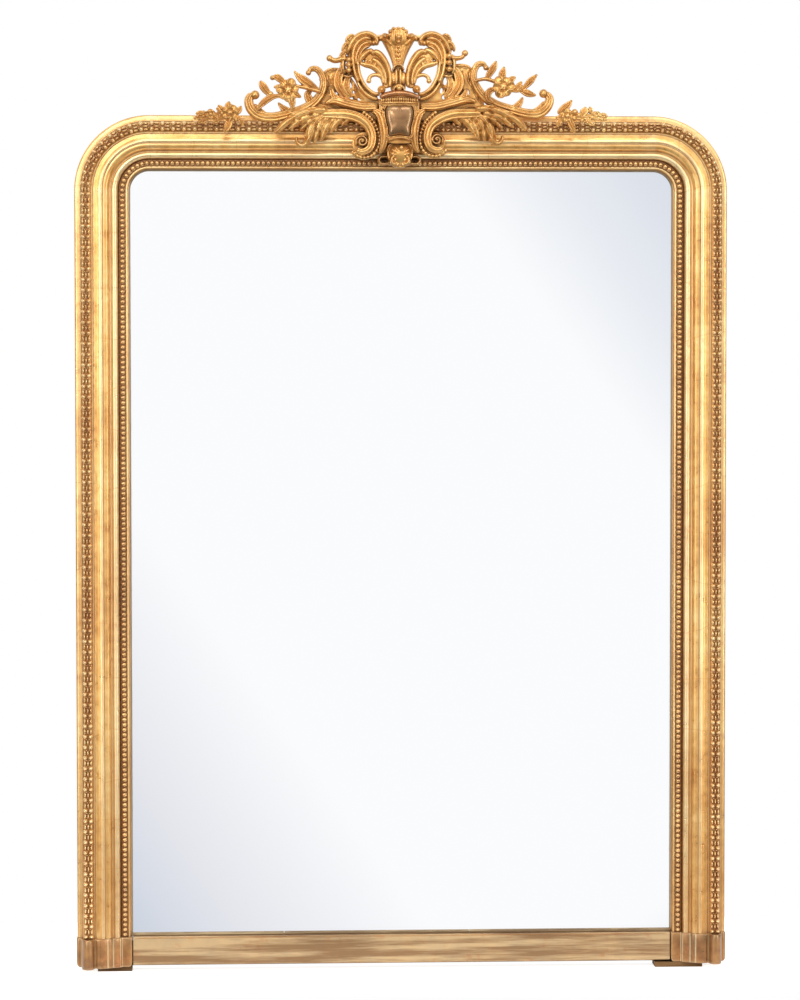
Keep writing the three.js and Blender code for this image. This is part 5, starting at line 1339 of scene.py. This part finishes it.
def build_floor():
    """A white shelf that keeps the shadow, and is white to the camera elsewhere."""
    half_x, near, far, z = 1.6, -0.30, 0.5, -ORIGIN_HEIGHT / 1000 - 0.0002
    data = bpy.data.meshes.new("shelf")
    data.from_pydata([(-half_x, near, z), (half_x, near, z), (half_x, far, z), (-half_x, far, z)], [], [(0, 1, 2, 3)])
    obj = bpy.data.objects.new("shelf", data)
    bpy.context.scene.collection.objects.link(obj)
    material, tree = nodes_of("white_shelf")
    rays = add(tree, "ShaderNodeLightPath").outputs
    diffuse = add(tree, "ShaderNodeBsdfDiffuse", {"Color": (0.9, 0.9, 0.9, 1)})
    glow = add(tree, "ShaderNodeEmission", {"Color": (1, 1, 1, 1), "Strength": 0.8})
    both = add(tree, "ShaderNodeAddShader")
    wire(tree, diffuse.outputs[0], both.inputs[0])
    wire(tree, glow.outputs[0], both.inputs[1])
    shiny = maths(tree, "MAXIMUM", rays["Is Glossy Ray"], rays["Is Transmission Ray"])
    seen = maths(tree, "MAXIMUM", rays["Is Camera Ray"], shiny)
    surface(tree, blend(tree, seen, diffuse, both))
    data.materials.append(material)


def lamp(name, place, target, size, power, colour=(1, 1, 1)):
    light = bpy.data.lights.new(name, "AREA")
    light.shape = "RECTANGLE"
    light.size, light.size_y = size
    light.energy = power
    light.color = colour
    obj = bpy.data.objects.new(name, light)
    obj.location = place
    obj.rotation_euler = (Vector(target) - Vector(place)).to_track_quat("-Z", "Y").to_euler()
    bpy.context.scene.collection.objects.link(obj)


def build_lights():
    middle = (0, 0, 0.85)
    lamp("left_window", (-3.6, -3.4, 1.3), middle, (1.0, 3.0), 46, (1.0, 0.99, 0.97))
    lamp("right_window", (3.9, -3.2, 1.3), middle, (1.0, 3.0), 48, (1.0, 0.99, 0.97))
    lamp("roof_window", (0.5, -2.6, 4.4), (0, 0, 1.3), (3.0, 1.0), 40, (1.0, 0.99, 0.98))
    lamp("front_window", (-1.9, -6.0, 3.0), middle, (1.8, 1.0), 72, (1.0, 0.99, 0.98))


def build_camera():
    """Placed and turned to match the photograph's view."""
    camera = bpy.data.cameras.new("camera")
    camera.sensor_fit = "VERTICAL"
    camera.sensor_height = camera.sensor_width = FILM
    camera.lens = FOCAL_PIXELS / PICTURE_PIXELS * FILM
    yaw, pitch, turn = math.radians(2.98), math.radians(-2.63), math.radians(-0.03)
    obj = bpy.data.objects.new("camera", camera)
    obj.location = (-0.340, -6.493, 1.109)
    obj.matrix_world = Matrix.Translation(obj.location) @ (
        Matrix.Rotation(-yaw, 4, "Z") @ Matrix.Rotation(math.pi / 2 + pitch, 4, "X") @ Matrix.Rotation(turn, 4, "Z"))
    camera.clip_end = 50.0
    bpy.context.scene.collection.objects.link(obj)
    bpy.context.scene.camera = obj


build_camera()
build_world()
build_floor()
build_lights()
paint_nodes()
build_mouldings()
build_strings()
build_plinths()
build_rail()
build_shade_slip()
build_sill()
build_panels()
build_side_scrolls()
build_head_scrolls()
build_plumes()
build_cornice()
build_shield()
build_pendant()
build_acanthus()
build_flower_sprays()
build_garlands()
build_fixings()

bpy.context.scene.view_settings.view_transform = "Standard"
